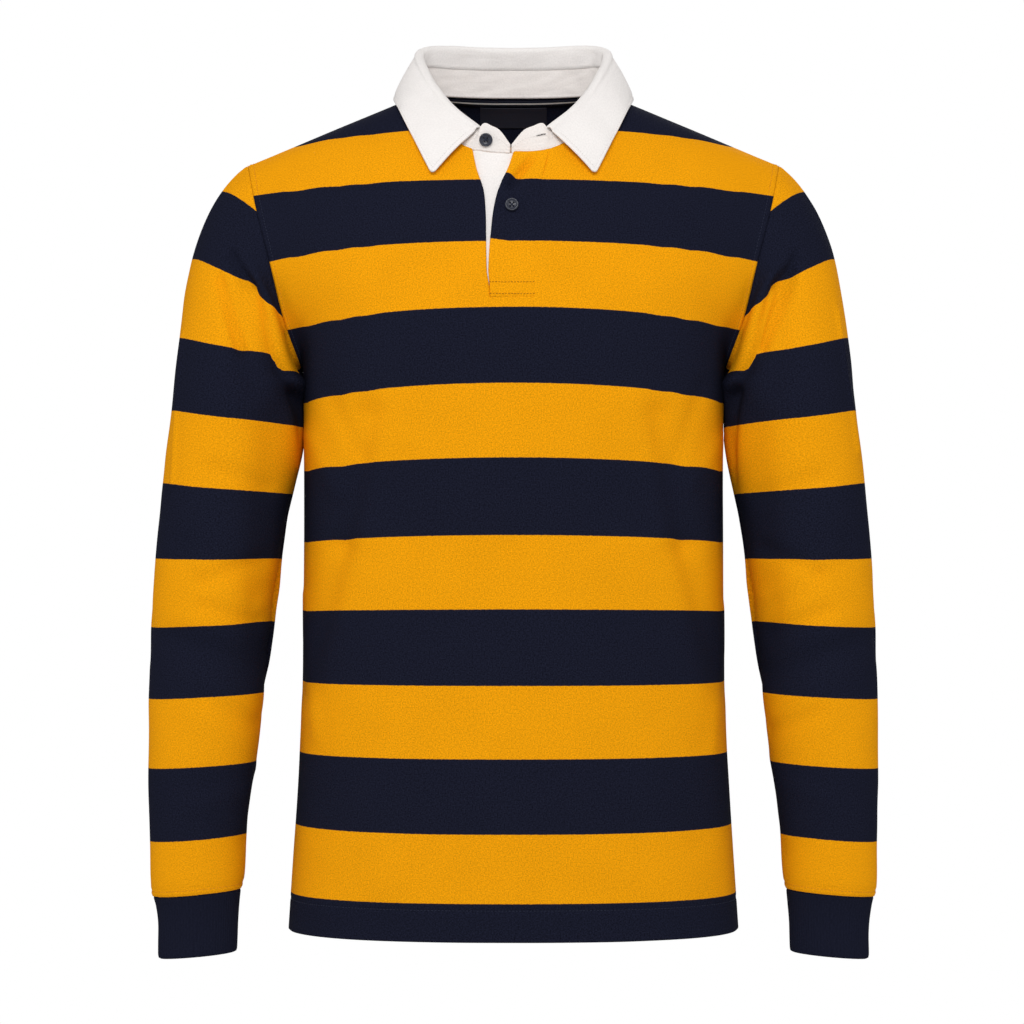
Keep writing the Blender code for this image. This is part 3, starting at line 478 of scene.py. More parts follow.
def straight_to_armholes(points, across, hoops):
    """Above the underarm the hoops run on to the armholes at the slope they have a little inside them."""
    straight = hoops.copy()
    rows = slice(UNDERARM - 2, None)
    fade = np.clip((points[rows, :, 2] - UNDERARM_HEIGHT) / 25, 0, 1)
    for side in (-1, 1):
        near, inner = (int(np.abs(side * across - share).argmin()) for share in (STRAIGHT_FROM, SLOPE_FROM))
        for column in np.flatnonzero(side * across > side * across[near]):
            found = []
            for marker in (near, inner):
                height = points[rows, marker, 2]
                found.append([np.interp(points[rows, column, 2], height, values[rows, marker])
                              for values in (points[..., 0], hoops)])
            (near_x, near_hoop), (inner_x, inner_hoop) = found
            slope = (near_hoop - inner_hoop) / (near_x - inner_x)
            reach = points[rows, column, 0] - near_x
            bend = np.interp(points[rows, column, 2], BEND_HEIGHTS, HOOP_BEND)
            run_on = near_hoop + slope * reach + bend * reach ** 2
            outside = np.clip((side * across[column] - STRAIGHT_FROM) / STRAIGHT_OVER, 0, 1)
            eased = outside * outside * (3 - 2 * outside)
            straight[rows, column] += (run_on - hoops[rows, column]) * fade[:, column] * eased
    return straight


front_out = body(front_across, ROWS[:, None], -1)
front_normal = normals(front_out)
up_front, over_front = run_up(front_out), run_across(front_out)
side_distance = np.minimum(over_front, over_front[:, -1:] - over_front)
top_distance = up_front[-1] - up_front
above_foot = np.zeros(front_across.shape, bool)
above_foot[FOOT:] = True
slit_distance = np.linalg.norm(front_out - front_out[:, SLIT:SLIT + 1], axis=-1)
sewn_distance = np.linalg.norm(front_out - front_out[:, SEWN:SEWN + 1], axis=-1)
hem_distance = np.abs(up_front - HEM_STITCH)
dip = np.where(ROWS[:, None] > 0, topstitched_dip(side_distance, STITCH_INSET), seam_dip(side_distance))
dip += seam_dip(top_distance)
dip += np.where(above_foot & (sewn_distance < 20), 0.35 * seam_dip(sewn_distance), 0)
dip += np.where(above_foot & (slit_distance < 20), hollow(slit_distance, 0.3, 1.5), 0)
dip += hem_dip(hem_distance)
fold_fade = crease_fade(front_across)
lumps = uneven(front_out, 34, 0.45) * fold_fade

# The slit's left edge bows out to the side, and the strip's free edge laps over it
# height, shift of the slit's edge, shift of the strip's edge
SLIT_BOW = np.array([
    (-200, 0, 0), (-178, -0.3, 0), (-171, -1.4, -0.6), (-164, -2.6, -1.5), (-154, -2.9, -1.9), (-128, -2.5, -2.7),
    (-110, -1.7, -3.6), (-92.6, -1.5, -3.4), (-73, -4.6, -0.3), (-52, -4.6, 0), (-30, -4.6, 0.4),
], float)
BOW_REACH_LEFT, BOW_REACH_RIGHT = 22, 12
from_slit = front_out[:, SLIT:SLIT + 1, 0] - front_out[..., 0]
on_left = np.arange(len(foot))[None, :] <= SLIT
right_share = hollow(from_slit, 1, BOW_REACH_RIGHT) * (ROWS[:, None] < PLACKET_FOOT)
beyond = np.where(on_left, hollow(from_slit, 1, BOW_REACH_LEFT), right_share)
front_out[..., 0] += look_up(SLIT_BOW, front_out[..., 2])[..., 0] * beyond
front_out = creased(front_out, front_normal * fold_fade[..., None], FRONT_CREASES)
front_out += front_normal * (lumps - dip)[..., None]
front_normal = normals(front_out)
wall = np.where(ROWS < -1 + HEM_STITCH / SIDE_LENGTH, HEM_THICKNESS, JERSEY_THICKNESS)[:, None, None]
front_in = front_out - front_normal * wall

front_length = lengths(-1, front_across)
drift = look_up(HOOP_DRIFT, front_length)
hoops = front_length + drift[..., 0] + drift[..., 1] * np.minimum(front_across ** 2, SIDE_DRIFT_LIMIT)
hoops = straight_to_armholes(front_out, foot, hoops)
front_cloth = np.stack([front_across * PANEL_QUARTER, hoops], -1)
seam_line = np.minimum(side_distance, top_distance)


# The distance given for a piece that has no seam line of its own
NO_SEAM = 9.0


def cloth_piece(name, outer, inner, cloth, seam, kept=None, closed=False, rounded=0.4, flush=False):
    """A cut piece as a closed shell: two faces joined by an edge that is rounded like turned cloth. cloth
    holds each point's place on the flat cloth in mm, and seam its distance from the nearest seam. Where flush,
    the edge is left square on a seam, so that it lies close against the next piece."""
    rows, columns = outer.shape[:2]
    half = rows * columns
    number = np.arange(half).reshape(rows, columns)
    wide = np.concatenate([number, number[:, :1]], 1) if closed else number
    cells = np.stack([wide[:-1, :-1], wide[:-1, 1:], wide[1:, 1:], wide[1:, :-1]], -1)
    flat = np.arange(cloth.shape[0] * cloth.shape[1]).reshape(cloth.shape[:2])
    flats = np.stack([flat[:-1, :-1], flat[:-1, 1:], flat[1:, 1:], flat[1:, :-1]], -1)
    if kept is not None:
        cells, flats = cells[kept], flats[kept]
    cells, flats = cells.reshape(-1, 4), flats.reshape(-1, 4)
    starts, ends = cells.ravel(), np.roll(cells, -1, 1).ravel()
    flat_starts, flat_ends = flats.ravel(), np.roll(flats, -1, 1).ravel()
    used = set(zip(starts.tolist(), ends.tolist()))
    free = np.array([(b, a) not in used for a, b in zip(starts.tolist(), ends.tolist())])
    one, two = starts[free], ends[free]
    flat_one, flat_two = flat_starts[free], flat_ends[free]

    points = np.concatenate([outer.reshape(-1, 3), inner.reshape(-1, 3)])
    facing = unit(points[:half] - points[half:])
    off = unit(np.cross(points[two] - points[one], facing[one]))
    sideways = np.zeros((half, 3))
    np.add.at(sideways, one, off)
    np.add.at(sideways, two, off)
    rim = np.unique(np.concatenate([one, two]))
    place = np.full(half, -1)
    place[rim] = np.arange(len(rim)) + 2 * half
    thickness = np.linalg.norm(points[rim] - points[rim + half], axis=-1, keepdims=True)
    seam = np.broadcast_to(seam, outer.shape[:2]).ravel()
    turn = np.where(flush & (seam[rim] < 0.05), 0.0, rounded)[:, None]
    bulge = (points[rim] + points[rim + half]) / 2 + unit(sideways[rim]) * thickness * turn
    points = np.concatenate([points, bulge])

    faces = np.concatenate([
        cells,
        cells[:, ::-1] + half,
        np.stack([two, one, place[one], place[two]], -1),
        np.stack([place[two], place[one], one + half, two + half], -1),
    ])
    flats = np.concatenate([flats, flats[:, ::-1]] + 2 * [np.stack([flat_two, flat_one, flat_one, flat_two], -1)])
    mesh = bpy.data.meshes.new(name)
    mesh.from_pydata((points * MM).tolist(), [], faces.tolist())
    layer = mesh.uv_layers.new(name="cloth")
    layer.data.foreach_set("uv", (cloth.reshape(-1, 2)[flats.ravel()] * MM).astype(np.float32).ravel())
    distance = mesh.attributes.new("seam_distance", "FLOAT", "POINT")
    distance.data.foreach_set("value", np.concatenate([seam, seam, seam[rim]]).astype(np.float32))
    mesh.polygons.foreach_set("use_smooth", [True] * len(mesh.polygons))
    if kept is not None:
        bm = bmesh.new()
        bm.from_mesh(mesh)
        bmesh.ops.delete(bm, geom=[v for v in bm.verts if not v.link_faces], context="VERTS")
        bm.to_mesh(mesh)
        bm.free()
    mesh.validate()
    thing = bpy.data.objects.new(name, mesh)
    scene.collection.objects.link(thing)
    return thing


class Finish:
    """One value in a material. Sums written with it add Math nodes, and node() adds any other node."""

    def __init__(self, tree, socket=None):
        self.tree, self.socket = tree, socket

    def node(self, kind, settings=None, values=None, out=0):
        made = self.tree.nodes.new(kind)
        for key, value in (settings or {}).items():
            if key == "stops":
                for stop, (position, colour) in zip(made.color_ramp.elements, value):
                    stop.position, stop.color = position, colour
            else:
                setattr(made, key, value)
        for key, value in (values or {}).items():
            if isinstance(value, Finish):
                self.tree.links.new(value.socket, made.inputs[key])
            else:
                made.inputs[key].default_value = value
        return Finish(self.tree, made.outputs[out] if made.outputs else None)

    def math(self, operation, *others):
        values = dict(enumerate([self, *others]))
        return self.node("ShaderNodeMath", {"operation": operation}, values)

    def __add__(self, other):
        return self.math("ADD", other)

    def __mul__(self, other):
        return self.math("MULTIPLY", other)

    def __sub__(self, other):
        return self.math("SUBTRACT", other)

    def __truediv__(self, other):
        return self.math("DIVIDE", other)

    def __rsub__(self, other):
        return self * -1 + other

    __radd__, __rmul__ = __add__, __mul__

    def kept_within(self, low=0.0, high=1.0):
        return self.math("MAXIMUM", low).math("MINIMUM", high)

    def mixed(self, one, other):
        """The colour one where this value is 0 and other where it is 1."""
        return self.node("ShaderNodeMix", {"data_type": "RGBA"}, {0: self, 6: one, 7: other}, out=2)

    def channel(self, index):
        return self.node("ShaderNodeSeparateXYZ", values={0: self}, out=index)

    def noise(self, scale, detail):
        """Noise over these places on the flat cloth, from -0.5 to 0.5."""
        return self.node("ShaderNodeTexNoise", {"noise_dimensions": "2D"},
                         {"Vector": self, "Scale": scale, "Detail": detail}) - 0.5

    def wave(self, length):
        """A wave along this value, from -1 to 1."""
        return (self * (2 * np.pi / length)).math("SINE")

    def shading(self, colour):
        """The colour made lighter or darker by this value."""
        grey = self.node("ShaderNodeCombineXYZ", values={0: self, 1: self, 2: self})
        return self.node("ShaderNodeVectorMath", {"operation": "MULTIPLY"}, {0: colour, 1: grey})

    def bumps(self, strength, distance):
        return self.node("ShaderNodeBump", values={"Strength": strength, "Distance": distance, "Height": self})

    def into(self, shader, name):
        self.tree.links.new(self.socket, shader.inputs[name])


def new_material(name, roughness, specular, sheen=0.0):
    """A material with its constant sockets set, the value to build its nodes from, and its shader."""
    material = bpy.data.materials.new(name)
    material.use_nodes = True
    shader = material.node_tree.nodes["Principled BSDF"]
    shader.inputs["Roughness"].default_value = roughness
    shader.inputs["Specular IOR Level"].default_value = specular
    shader.inputs["Sheen Weight"].default_value = sheen
    shader.inputs["Sheen Roughness"].default_value = 0.6
    return material, Finish(material.node_tree), shader


def flat_cloth(start):
    """The place on the flat cloth, in m, and its two lengths, in mm."""
    cloth = start.node("ShaderNodeUVMap", {"uv_map": "cloth"})
    return cloth, cloth.channel(0) * 1000, cloth.channel(1) * 1000


def from_seam_line(start):
    return start.node("ShaderNodeAttribute", {"attribute_name": "seam_distance"}, out=2)


GOLD = (0.85, 0.34, 0.0035, 1)
NAVY = (0.0098, 0.0112, 0.0235, 1)
HOOP_REPEAT = 124.0
GOLD_HOOP = 60.5
FIRST_HOOP = 32.0
HIGHEST_HOOP = 738.0
WALE_PITCH, COURSE_PITCH = 1.25, 0.95


def hoop_mask(length):
    """1 on a gold hoop and 0 on a navy one, from the length up the cloth in mm."""
    below_yoke = length.math("MINIMUM", HIGHEST_HOOP)
    turned = (below_yoke - FIRST_HOOP - GOLD_HOOP / 2 + HOOP_REPEAT / 2) / HOOP_REPEAT
    off_middle = (turned.math("FRACT") * HOOP_REPEAT - HOOP_REPEAT / 2).math("ABSOLUTE")
    return ((GOLD_HOOP / 2 - off_middle) / 0.5 + 0.5).kept_within()


def jersey(name):
    """Heavy cotton jersey: hoops by the length up the cloth, a mottled surface, fine knit ribs, and painted shade in a
    thin line along its seams.
    """
    material, start, shader = new_material(name, 0.95, 0.03)
    cloth, u, v = flat_cloth(start)
    gold = hoop_mask(v + cloth.noise(320.0, 1.0) * 0.45)
    mottle, grain, broad = cloth.noise(520.0, 1.0), cloth.noise(900.0, 1.0), cloth.noise(22.0, 2.0)
    seam = from_seam_line(start)
    # Painted shade: within 0.8 mm of a seam the cloth's colour is darkened by up to a fifth, standing in for the shade
    # in the seam's groove.
    line = (1 - seam / 0.8).kept_within()
    depth = 2.2 - gold * 1.2
    shade = ((mottle * 0.17 + grain * 0.75) * depth + broad * 0.08 + 1) * (1 - line * 0.2)
    shade.shading(gold.mixed(NAVY, GOLD)).into(shader, "Base Color")
    wales = (u * (np.pi / WALE_PITCH)).math("SINE").math("ABSOLUTE")
    courses = ((v / COURSE_PITCH + wales * 0.35) * (2 * np.pi)).math("SINE")
    pucker = (v * 0.9 + u * 0.9).math("SINE") * (1 - seam / 9).kept_within()
    height = wales * 0.5 + courses * 0.25 + mottle * 0.8 + grain * 1.6 + pucker * 0.5
    height.bumps(0.35, 0.00035).into(shader, "Normal")
    return material


def dressed(piece, node, material):
    """The piece in its cloth, in the place of its solid."""
    piece.data.materials.append(material)
    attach(piece, "root")
    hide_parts(node)
    return piece


hooped_jersey = jersey("hooped_jersey")
front = cloth_piece("front_panel", front_out, front_in, front_cloth, seam_line, front_kept, flush=True)
dressed(front, "front", hooped_jersey)


def stitch_tree():
    """Stitches laid along a path: short raised threads at an even pitch, each turned to lie on the cloth."""
    tree = bpy.data.node_groups.new("row_of_stitches", "GeometryNodeTree")
    sockets = [
        ("Path", "NodeSocketGeometry", None), ("Pitch", "NodeSocketFloat", 0.003),
        ("Stitch length", "NodeSocketFloat", 0.0022), ("Thread width", "NodeSocketFloat", 0.0005),
        ("Unevenness", "NodeSocketFloat", 0.12), ("Seed", "NodeSocketInt", 4), ("Thread", "NodeSocketMaterial", None),
    ]
    for name, kind, value in sockets:
        socket = tree.interface.new_socket(name, in_out="INPUT", socket_type=kind)
        if value is not None:
            socket.default_value = value
    tree.interface.new_socket("Stitches", in_out="OUTPUT", socket_type="NodeSocketGeometry")

    def add(kind, settings=None, values=None):
        made = tree.nodes.new(kind)
        for key, value in (settings or {}).items():
            setattr(made, key, value)
        for key, value in (values or {}).items():
            if isinstance(value, bpy.types.NodeSocket):
                tree.links.new(value, made.inputs[key])
            else:
                made.inputs[key].default_value = value
        return made.outputs

    given = add("NodeGroupInput")
    line = add("GeometryNodeMeshToCurve", values={0: given["Path"]})[0]
    points = add("GeometryNodeResampleCurve", {"mode": "LENGTH"}, {"Curve": line, "Length": given["Pitch"]})
    tangent = add("GeometryNodeInputTangent")[0]
    outward = add("GeometryNodeInputNamedAttribute", {"data_type": "FLOAT_VECTOR"}, {"Name": "outward"})["Attribute"]
    along = add("FunctionNodeAlignRotationToVector", {"axis": "X"}, {"Vector": tangent})[0]
    laid = add("FunctionNodeAlignRotationToVector", {"axis": "Z", "pivot_axis": "X"},
               {"Rotation": along, "Vector": outward})[0]
    size = add("ShaderNodeCombineXYZ", values={
        0: given["Stitch length"], 1: given["Thread width"], 2: given["Thread width"]})[0]
    bead = add("GeometryNodeMeshUVSphere", values={"Segments": 8, "Rings": 5, "Radius": 0.5})[0]
    thread = add("GeometryNodeTransform", values={"Geometry": bead, "Scale": size})[0]
    smooth = add("GeometryNodeSetShadeSmooth", values={0: thread})[0]
    low = add("ShaderNodeMath", {"operation": "SUBTRACT"}, {0: 1.0, 1: given["Unevenness"]})[0]
    high = add("ShaderNodeMath", {"operation": "ADD"}, {0: 1.0, 1: given["Unevenness"]})[0]
    scale = add("FunctionNodeRandomValue", {"data_type": "FLOAT"}, {2: low, 3: high, "Seed": given["Seed"]})[1]
    laid_out = add("GeometryNodeInstanceOnPoints", values={
        "Points": points[0], "Instance": smooth, "Rotation": laid, "Scale": scale})[0]
    whole = add("GeometryNodeRealizeInstances", values={0: laid_out})[0]
    sewn = add("GeometryNodeSetMaterial", values={"Geometry": whole, "Material": given["Thread"]})[0]
    add("NodeGroupOutput", values={0: sewn})
    return tree


STITCHES = stitch_tree()


def stitch_row(name, paths, thread, pitch=3.0, length=2.2, width=0.5, seed=4):
    """Rows of stitches as one piece. Each path is its points, outward directions and lengths up the cloth."""
    points = np.concatenate([path[0] for path in paths])
    outward = np.concatenate([path[1] for path in paths])
    cloth = np.concatenate([path[2] for path in paths])
    edges, start = [], 0
    for path in paths:
        edges += [(start + i, start + i + 1) for i in range(len(path[0]) - 1)]
        start += len(path[0])
    mesh = bpy.data.meshes.new(name + "_path")
    mesh.from_pydata((points * MM).tolist(), edges, [])
    mesh.attributes.new("outward", "FLOAT_VECTOR", "POINT").data.foreach_set("vector", outward.ravel())
    mesh.attributes.new("hoop_length", "FLOAT", "POINT").data.foreach_set("value", cloth)
    traced = bpy.data.objects.new(name + "_path", mesh)
    scene.collection.objects.link(traced)
    row = traced.modifiers.new("Stitches", "NODES")
    row.node_group = STITCHES
    given = {item.name: item.identifier for item in STITCHES.interface.items_tree if item.in_out == "INPUT"}
    row[given["Pitch"]] = pitch * MM
    row[given["Stitch length"]] = length * MM
    row[given["Thread width"]] = width * MM
    row[given["Seed"]] = seed
    row[given["Thread"]] = thread
    bpy.context.view_layer.update()
    sewn = bpy.data.meshes.new_from_object(traced.evaluated_get(bpy.context.evaluated_depsgraph_get()))
    bpy.data.objects.remove(traced)
    sewn.name = name
    stitches = bpy.data.objects.new(name, sewn)
    scene.collection.objects.link(stitches)
    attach(stitches, "root")
    return stitches


def thread_like_cloth():
    """Thread dyed to go with the cloth: dull gold on gold and a lighter navy on navy."""
    material, start, shader = new_material("hoop_thread", 0.7, 0.2)
    length = start.node("ShaderNodeAttribute", {"attribute_name": "hoop_length"}, out=2)
    hoop_mask(length).mixed((0.022, 0.026, 0.05, 1), (0.62, 0.25, 0.012, 1)).into(shader, "Base Color")
    return material


hoop_thread = thread_like_cloth()


def on_cloth(outer, cloth, rows, columns, lift=0.05):
    """A path over a grid at whole or part rows and columns, set on the face of the cloth."""
    normal = normals(outer)
    low_r, low_c = np.floor(rows).astype(int), np.floor(columns).astype(int)
    low_r, low_c = np.minimum(low_r, outer.shape[0] - 2), np.minimum(low_c, outer.shape[1] - 2)
    r, c = (rows - low_r)[:, None], (columns - low_c)[:, None]

    def at(grid):
        return ((grid[low_r, low_c] * (1 - c) + grid[low_r, low_c + 1] * c) * (1 - r)
                + (grid[low_r + 1, low_c] * (1 - c) + grid[low_r + 1, low_c + 1] * c) * r)

    facing = unit(at(normal))
    return at(outer) + facing * lift, facing, at(cloth)[:, 1]


def beside_armholes(over):
    """Rows above the underarm, and the columns that lie one stitch inset inside each end of them."""
    rows = np.arange(UNDERARM + 2, len(ROWS) - 1)
    near = [np.interp(STITCH_INSET, over[row], np.arange(over.shape[1])) for row in rows]
    far = [np.interp(over[row, -1] - STITCH_INSET, over[row], np.arange(over.shape[1])) for row in rows]
    return rows.astype(float), np.array(near), np.array(far)


rows_up, armhole_right, armhole_left = beside_armholes(over_front)
hem_row = float(np.abs(hem_rows - HEM_STITCH).argmin())
along_hem = np.linspace(1, len(foot) - 2, 300)
front_stitches = stitch_row("front_stitches", [
    on_cloth(front_out, front_cloth, rows_up, armhole_left),
    on_cloth(front_out, front_cloth, rows_up, armhole_right),
    on_cloth(front_out, front_cloth, hem_row + 0 * along_hem, along_hem),
], hoop_thread)

# Back
# One panel of the same jersey with no yoke seam, sewn to the front down both sides and along the
# shoulders. Its hoops are matched to the front's at the side seams.
BACK_ROUND = np.linspace(0, 0.5, 26)
back_half = np.concatenate([neck_across(BACK_ROUND, 1), OUTER_COLUMNS])
back_columns = np.concatenate([-back_half[:0:-1], back_half])
back_across = back_columns[None, ::-1] + 0 * ROWS[:, None]

# Creases of the back
# x start, z start, x end, z end, spread, height
BACK_CREASES = np.array([
    (-168, -262, -120, -350, 12, -1.6),
    (166, -270, 118, -340, 13, -1.5),
    (-60, -455, 40, -478, 14, -1.2),
    (-20, -520, 120, -548, 16, 1.1),
    (-150, -600, -60, -640, 17, -1.2),
    (60, -618, 148, -660, 16, -1.0),
    (-184, -420, -160, -520, 13, 1.2),
    (184, -440, 165, -560, 13, 1.3),
    (-30, -60, 0, -210, 26, -0.8),
], float)

back_out = body(back_across, ROWS[:, None], 1)
back_normal = normals(back_out)
up_back, over_back = run_up(back_out), run_across(back_out)
side_distance = np.minimum(over_back, over_back[:, -1:] - over_back)
top_distance = up_back[-1] - up_back
hem_distance = np.abs(up_back - HEM_STITCH)
dip = np.where(ROWS[:, None] > 0, topstitched_dip(side_distance, STITCH_INSET), seam_dip(side_distance))
dip += topstitched_dip(top_distance, STITCH_INSET) + hem_dip(hem_distance)
fold_fade = crease_fade(back_across)
lumps = uneven(back_out, 37, 0.5) * fold_fade
back_out = creased(back_out, back_normal * fold_fade[..., None], BACK_CREASES)
back_out += back_normal * (lumps - dip)[..., None]

# The edges that the two panels share: the side seams up to the underarms, and the shoulder seams
sides = slice(0, UNDERARM + 1)
back_out[sides, 0], back_out[sides, -1] = front_out[sides, -1], front_out[sides, 0]
shoulder = len(OUTER_COLUMNS) + 1
back_out[-1, ::-1][:shoulder] = front_out[-1, :shoulder]
back_out[-1, :shoulder] = front_out[-1, ::-1][:shoulder]
back_normal = normals(back_out)
back_in = back_out - back_normal * wall

# How far the hoops rise towards the middle of the back, beside the neck
BACK_NECK_SHIFT = 20.0
NECK_SHIFT_FROM = 640
back_length = lengths(1, back_across)
drift = look_up(HOOP_DRIFT, back_length)
near_neck = np.clip((back_length - NECK_SHIFT_FROM) / 110, 0, 1) * np.clip(1 - (back_across / 0.5) ** 2, 0, 1)
hoops = back_length + drift[..., 0] + 0.7 * drift[..., 1] + BACK_NECK_SHIFT * near_neck
hoops = straight_to_armholes(back_out, back_columns[::-1], hoops)
back_cloth = np.stack([-back_across * PANEL_QUARTER + 4 * PANEL_QUARTER, hoops], -1)
seam_line = np.minimum(side_distance, top_distance)
back = cloth_piece("back_panel", back_out, back_in, back_cloth, seam_line, flush=True)
dressed(back, "back", hooped_jersey)
rows_up, armhole_left, armhole_right = beside_armholes(over_back)
along_hem = np.linspace(1, len(back_columns) - 2, 300)
shoulder_row = np.interp(-STITCH_INSET, -top_distance[:, 8], np.arange(len(ROWS)))
shoulder_left = np.linspace(1.5, shoulder - 1.5, 60)
back_stitches = stitch_row("back_stitches", [
    on_cloth(back_out, back_cloth, rows_up, armhole_left),
    on_cloth(back_out, back_cloth, rows_up, armhole_right),
    on_cloth(back_out, back_cloth, hem_row + 0 * along_hem, along_hem),
    on_cloth(back_out, back_cloth, shoulder_row + 0 * shoulder_left, shoulder_left),
    on_cloth(back_out, back_cloth, shoulder_row + 0 * shoulder_left, len(back_columns) - 1 - shoulder_left),
], hoop_thread)

# Neck tape and label
# A narrow woven tape covers the neck seam inside the back, navy with one white line. Under it a plain
# dark woven label is stitched to the cloth, left blank.
TAPE_WIDTH = 7.0
TAPE_THICKNESS = 0.8
TAPE_REACH = 72.0
LABEL_SIZE = (60.0, 21.0)
LABEL_TOP = 10.5
LABEL_THICKNESS = 0.7
LABEL_NAVY = (0.019, 0.0195, 0.032)
BACK_GAP = 0.4
WEAVE_PITCH = (0.5, 0.4)


def sampled(grid, rows, columns):
    """Points of a grid at whole and part rows and columns."""
    down = np.stack([np.interp(rows, np.arange(grid.shape[0]), grid[:, c, k])
                     for c in range(grid.shape[1]) for k in range(3)], -1)
    down = down.reshape(len(rows), grid.shape[1], 3)
    across = np.stack([np.interp(columns, np.arange(grid.shape[1]), down[r, :, k])
                       for r in range(len(rows)) for k in range(3)], -1)
    return across.reshape(len(columns), len(rows), 3).transpose(1, 0, 2)


def laid_inside_back(reach, near_top, height, thickness):
    """A flat piece on the inside of the back, reaching sideways, its upper edge below the neck seam."""
    centre = len(back_columns) // 2
    steps = np.linalg.norm(np.diff(back_in[:, centre], axis=0), axis=-1)
    below_top = np.concatenate([np.cumsum(steps[::-1])[::-1], [0]])
    marks = near_top + height * (1 - spaced(height, 1.2))
    rows = np.interp(-marks, -below_top, np.arange(len(ROWS)))
    side = back_in[int(rows[0]), :, 0]
    ends = np.interp([-reach, reach], -side, np.arange(len(side)))
    columns = np.linspace(ends[0], ends[1], 70)
    points = sampled(back_in, rows, columns)
    normal = unit(sampled(normals(back_in), rows, columns))
    return points - normal * BACK_GAP, points - normal * (BACK_GAP + thickness)


def woven(name, colour, line_colour, lines, roughness):
    """Fine woven tape: one colour, or with lines of another at heights given as low and high edges in mm."""
    material, start, shader = new_material(name, roughness, 0.25)
    cloth, u, v = flat_cloth(start)
    noise = cloth.noise(900.0, 2.0)
    mask = v * 0
    for low, high in lines:
        mask = mask + ((v - low) / 0.15).kept_within() * ((high - v) / 0.15).kept_within()
    (noise * 0.25 + 1).shading(mask.mixed((*colour, 1), (*line_colour, 1))).into(shader, "Base Color")
    weave = u.wave(WEAVE_PITCH[0]) * 0.5 + v.wave(WEAVE_PITCH[1]) * 0.5
    (weave + noise).bumps(0.4, 0.0002).into(shader, "Normal")
    return material


def laid_piece(name, node, outer, inner, width, height, material):
    rows, columns = outer.shape[:2]
    cloth = np.stack(np.meshgrid(np.linspace(0, width, columns), np.linspace(0, height, rows)), -1)
    return dressed(cloth_piece(name, outer, inner, cloth, NO_SEAM, rounded=0.3), node, material)


woven_tape = woven("woven_tape", (0.012, 0.014, 0.028), (0.8, 0.78, 0.75), [(2.6, 4.2)], 0.85)
woven_label = woven("woven_label", LABEL_NAVY, LABEL_NAVY, [], 0.6)
tape = laid_piece("neck_tape_strip", "neck_tape", *laid_inside_back(TAPE_REACH, 1.5, TAPE_WIDTH, TAPE_THICKNESS),
                  2 * TAPE_REACH, TAPE_WIDTH, woven_tape)
label = laid_piece("neck_label_patch", "neck_label",
                   *laid_inside_back(LABEL_SIZE[0] / 2, LABEL_TOP, LABEL_SIZE[1], LABEL_THICKNESS),
                   *LABEL_SIZE, woven_label)

# Sleeves
# Each is one piece of jersey, sewn into the armhole with the seam turned under the body and stitched
# down, and closed by a seam along the underarm. Cloth gathers in a short deep fold at the front of the arm.
# Which way the cloth leaves the armhole seam, from the underarm (0) to the shoulder (0.5)
# share round the armhole, x, y, z
SLEEVE_START = np.array([
    (0.00, 0.10, 0.00, -1.00),
    (0.12, 0.20, -0.22, -0.95),
    (0.25, 0.42, -0.22, -0.88),
    (0.38, 0.67, -0.10, -0.74),
    (0.50, 0.79, 0.00, -0.61),
], float)

# The sleeve below the armhole, as its outer and inner edges seen from the front
# share of its length, outer x, outer z, inner x, inner z, middle y, half depth
SLEEVE = np.array([
    (0.00, 300, -278, 189, -297, -8, 68),
    (0.15, 307.5, -343, 195, -350, -11, 63),
    (0.30, 313, -407, 203, -408, -15, 59),
    (0.44, 316, -468, 209, -464, -19, 54),
    (0.59, 318, -533, 217, -526, -23, 49),
    (0.74, 318, -595, 225, -585, -26, 43),
    (0.89, 317, -659, 233, -649, -28, 37),
    (0.97, 316.2, -692.5, 235.2, -685, -29, 34.5),
    (1.00, 315.4, -701, 236.6, -694.5, -29, 33.5),
], float)
SLEEVE_SQUARENESS = 2.15
# facing, x start, z start, x end, z end, spread, height
SLEEVE_FOLDS = np.array([
    (-1, 221, -168, 201, -252, 11, 5.0),
    (-1, 211, -285, 219, -480, 15, -4.5),
    (-1, 236, -176, 226, -262, 12, -3.0),
    (-1, 222, -440, 282, -400, 15, -3.5),
    (-1, 226, -505, 300, -478, 17, -3.0),
    (1, 224, -165, 206, -250, 12, 4.0),
    (1, 226, -430, 296, -470, 17, 3.5),
    (1, 230, -520, 300, -545, 18, -3.0),
], float)


def armhole(round_share):
    """A point of the left armhole seam: 0 at the underarm, 0.5 at the shoulder, up the front first."""
    rise = 1 - np.abs(1 - 2 * np.asarray(round_share, float))
    front_seam = look_up(ARMHOLE_FRONT, rise)
    back_seam = look_up(ARMHOLE_BACK, rise)
    return np.where((np.asarray(round_share) < 0.5)[..., None], front_seam, back_seam)


def tube_ring(table, along, round_share):
    """A point of a tapering tube given by its outer and inner edge: round_share 0 inside, 0.5 outside."""
    outer_x, outer_z, inner_x, inner_z, middle_y, half_depth = np.moveaxis(look_up(table, along), -1, 0)
    angle = 2 * np.pi * np.asarray(round_share, float)
    power = 2 / SLEEVE_SQUARENESS
    side = -np.sign(np.cos(angle)) * np.abs(np.cos(angle)) ** power
    forward = np.sign(np.sin(angle)) * np.abs(np.sin(angle)) ** power
    share = (1 + side) / 2
    return np.stack([
        inner_x + (outer_x - inner_x) * share,
        middle_y - half_depth * forward,
        inner_z + (outer_z - inner_z) * share,
    ], -1)


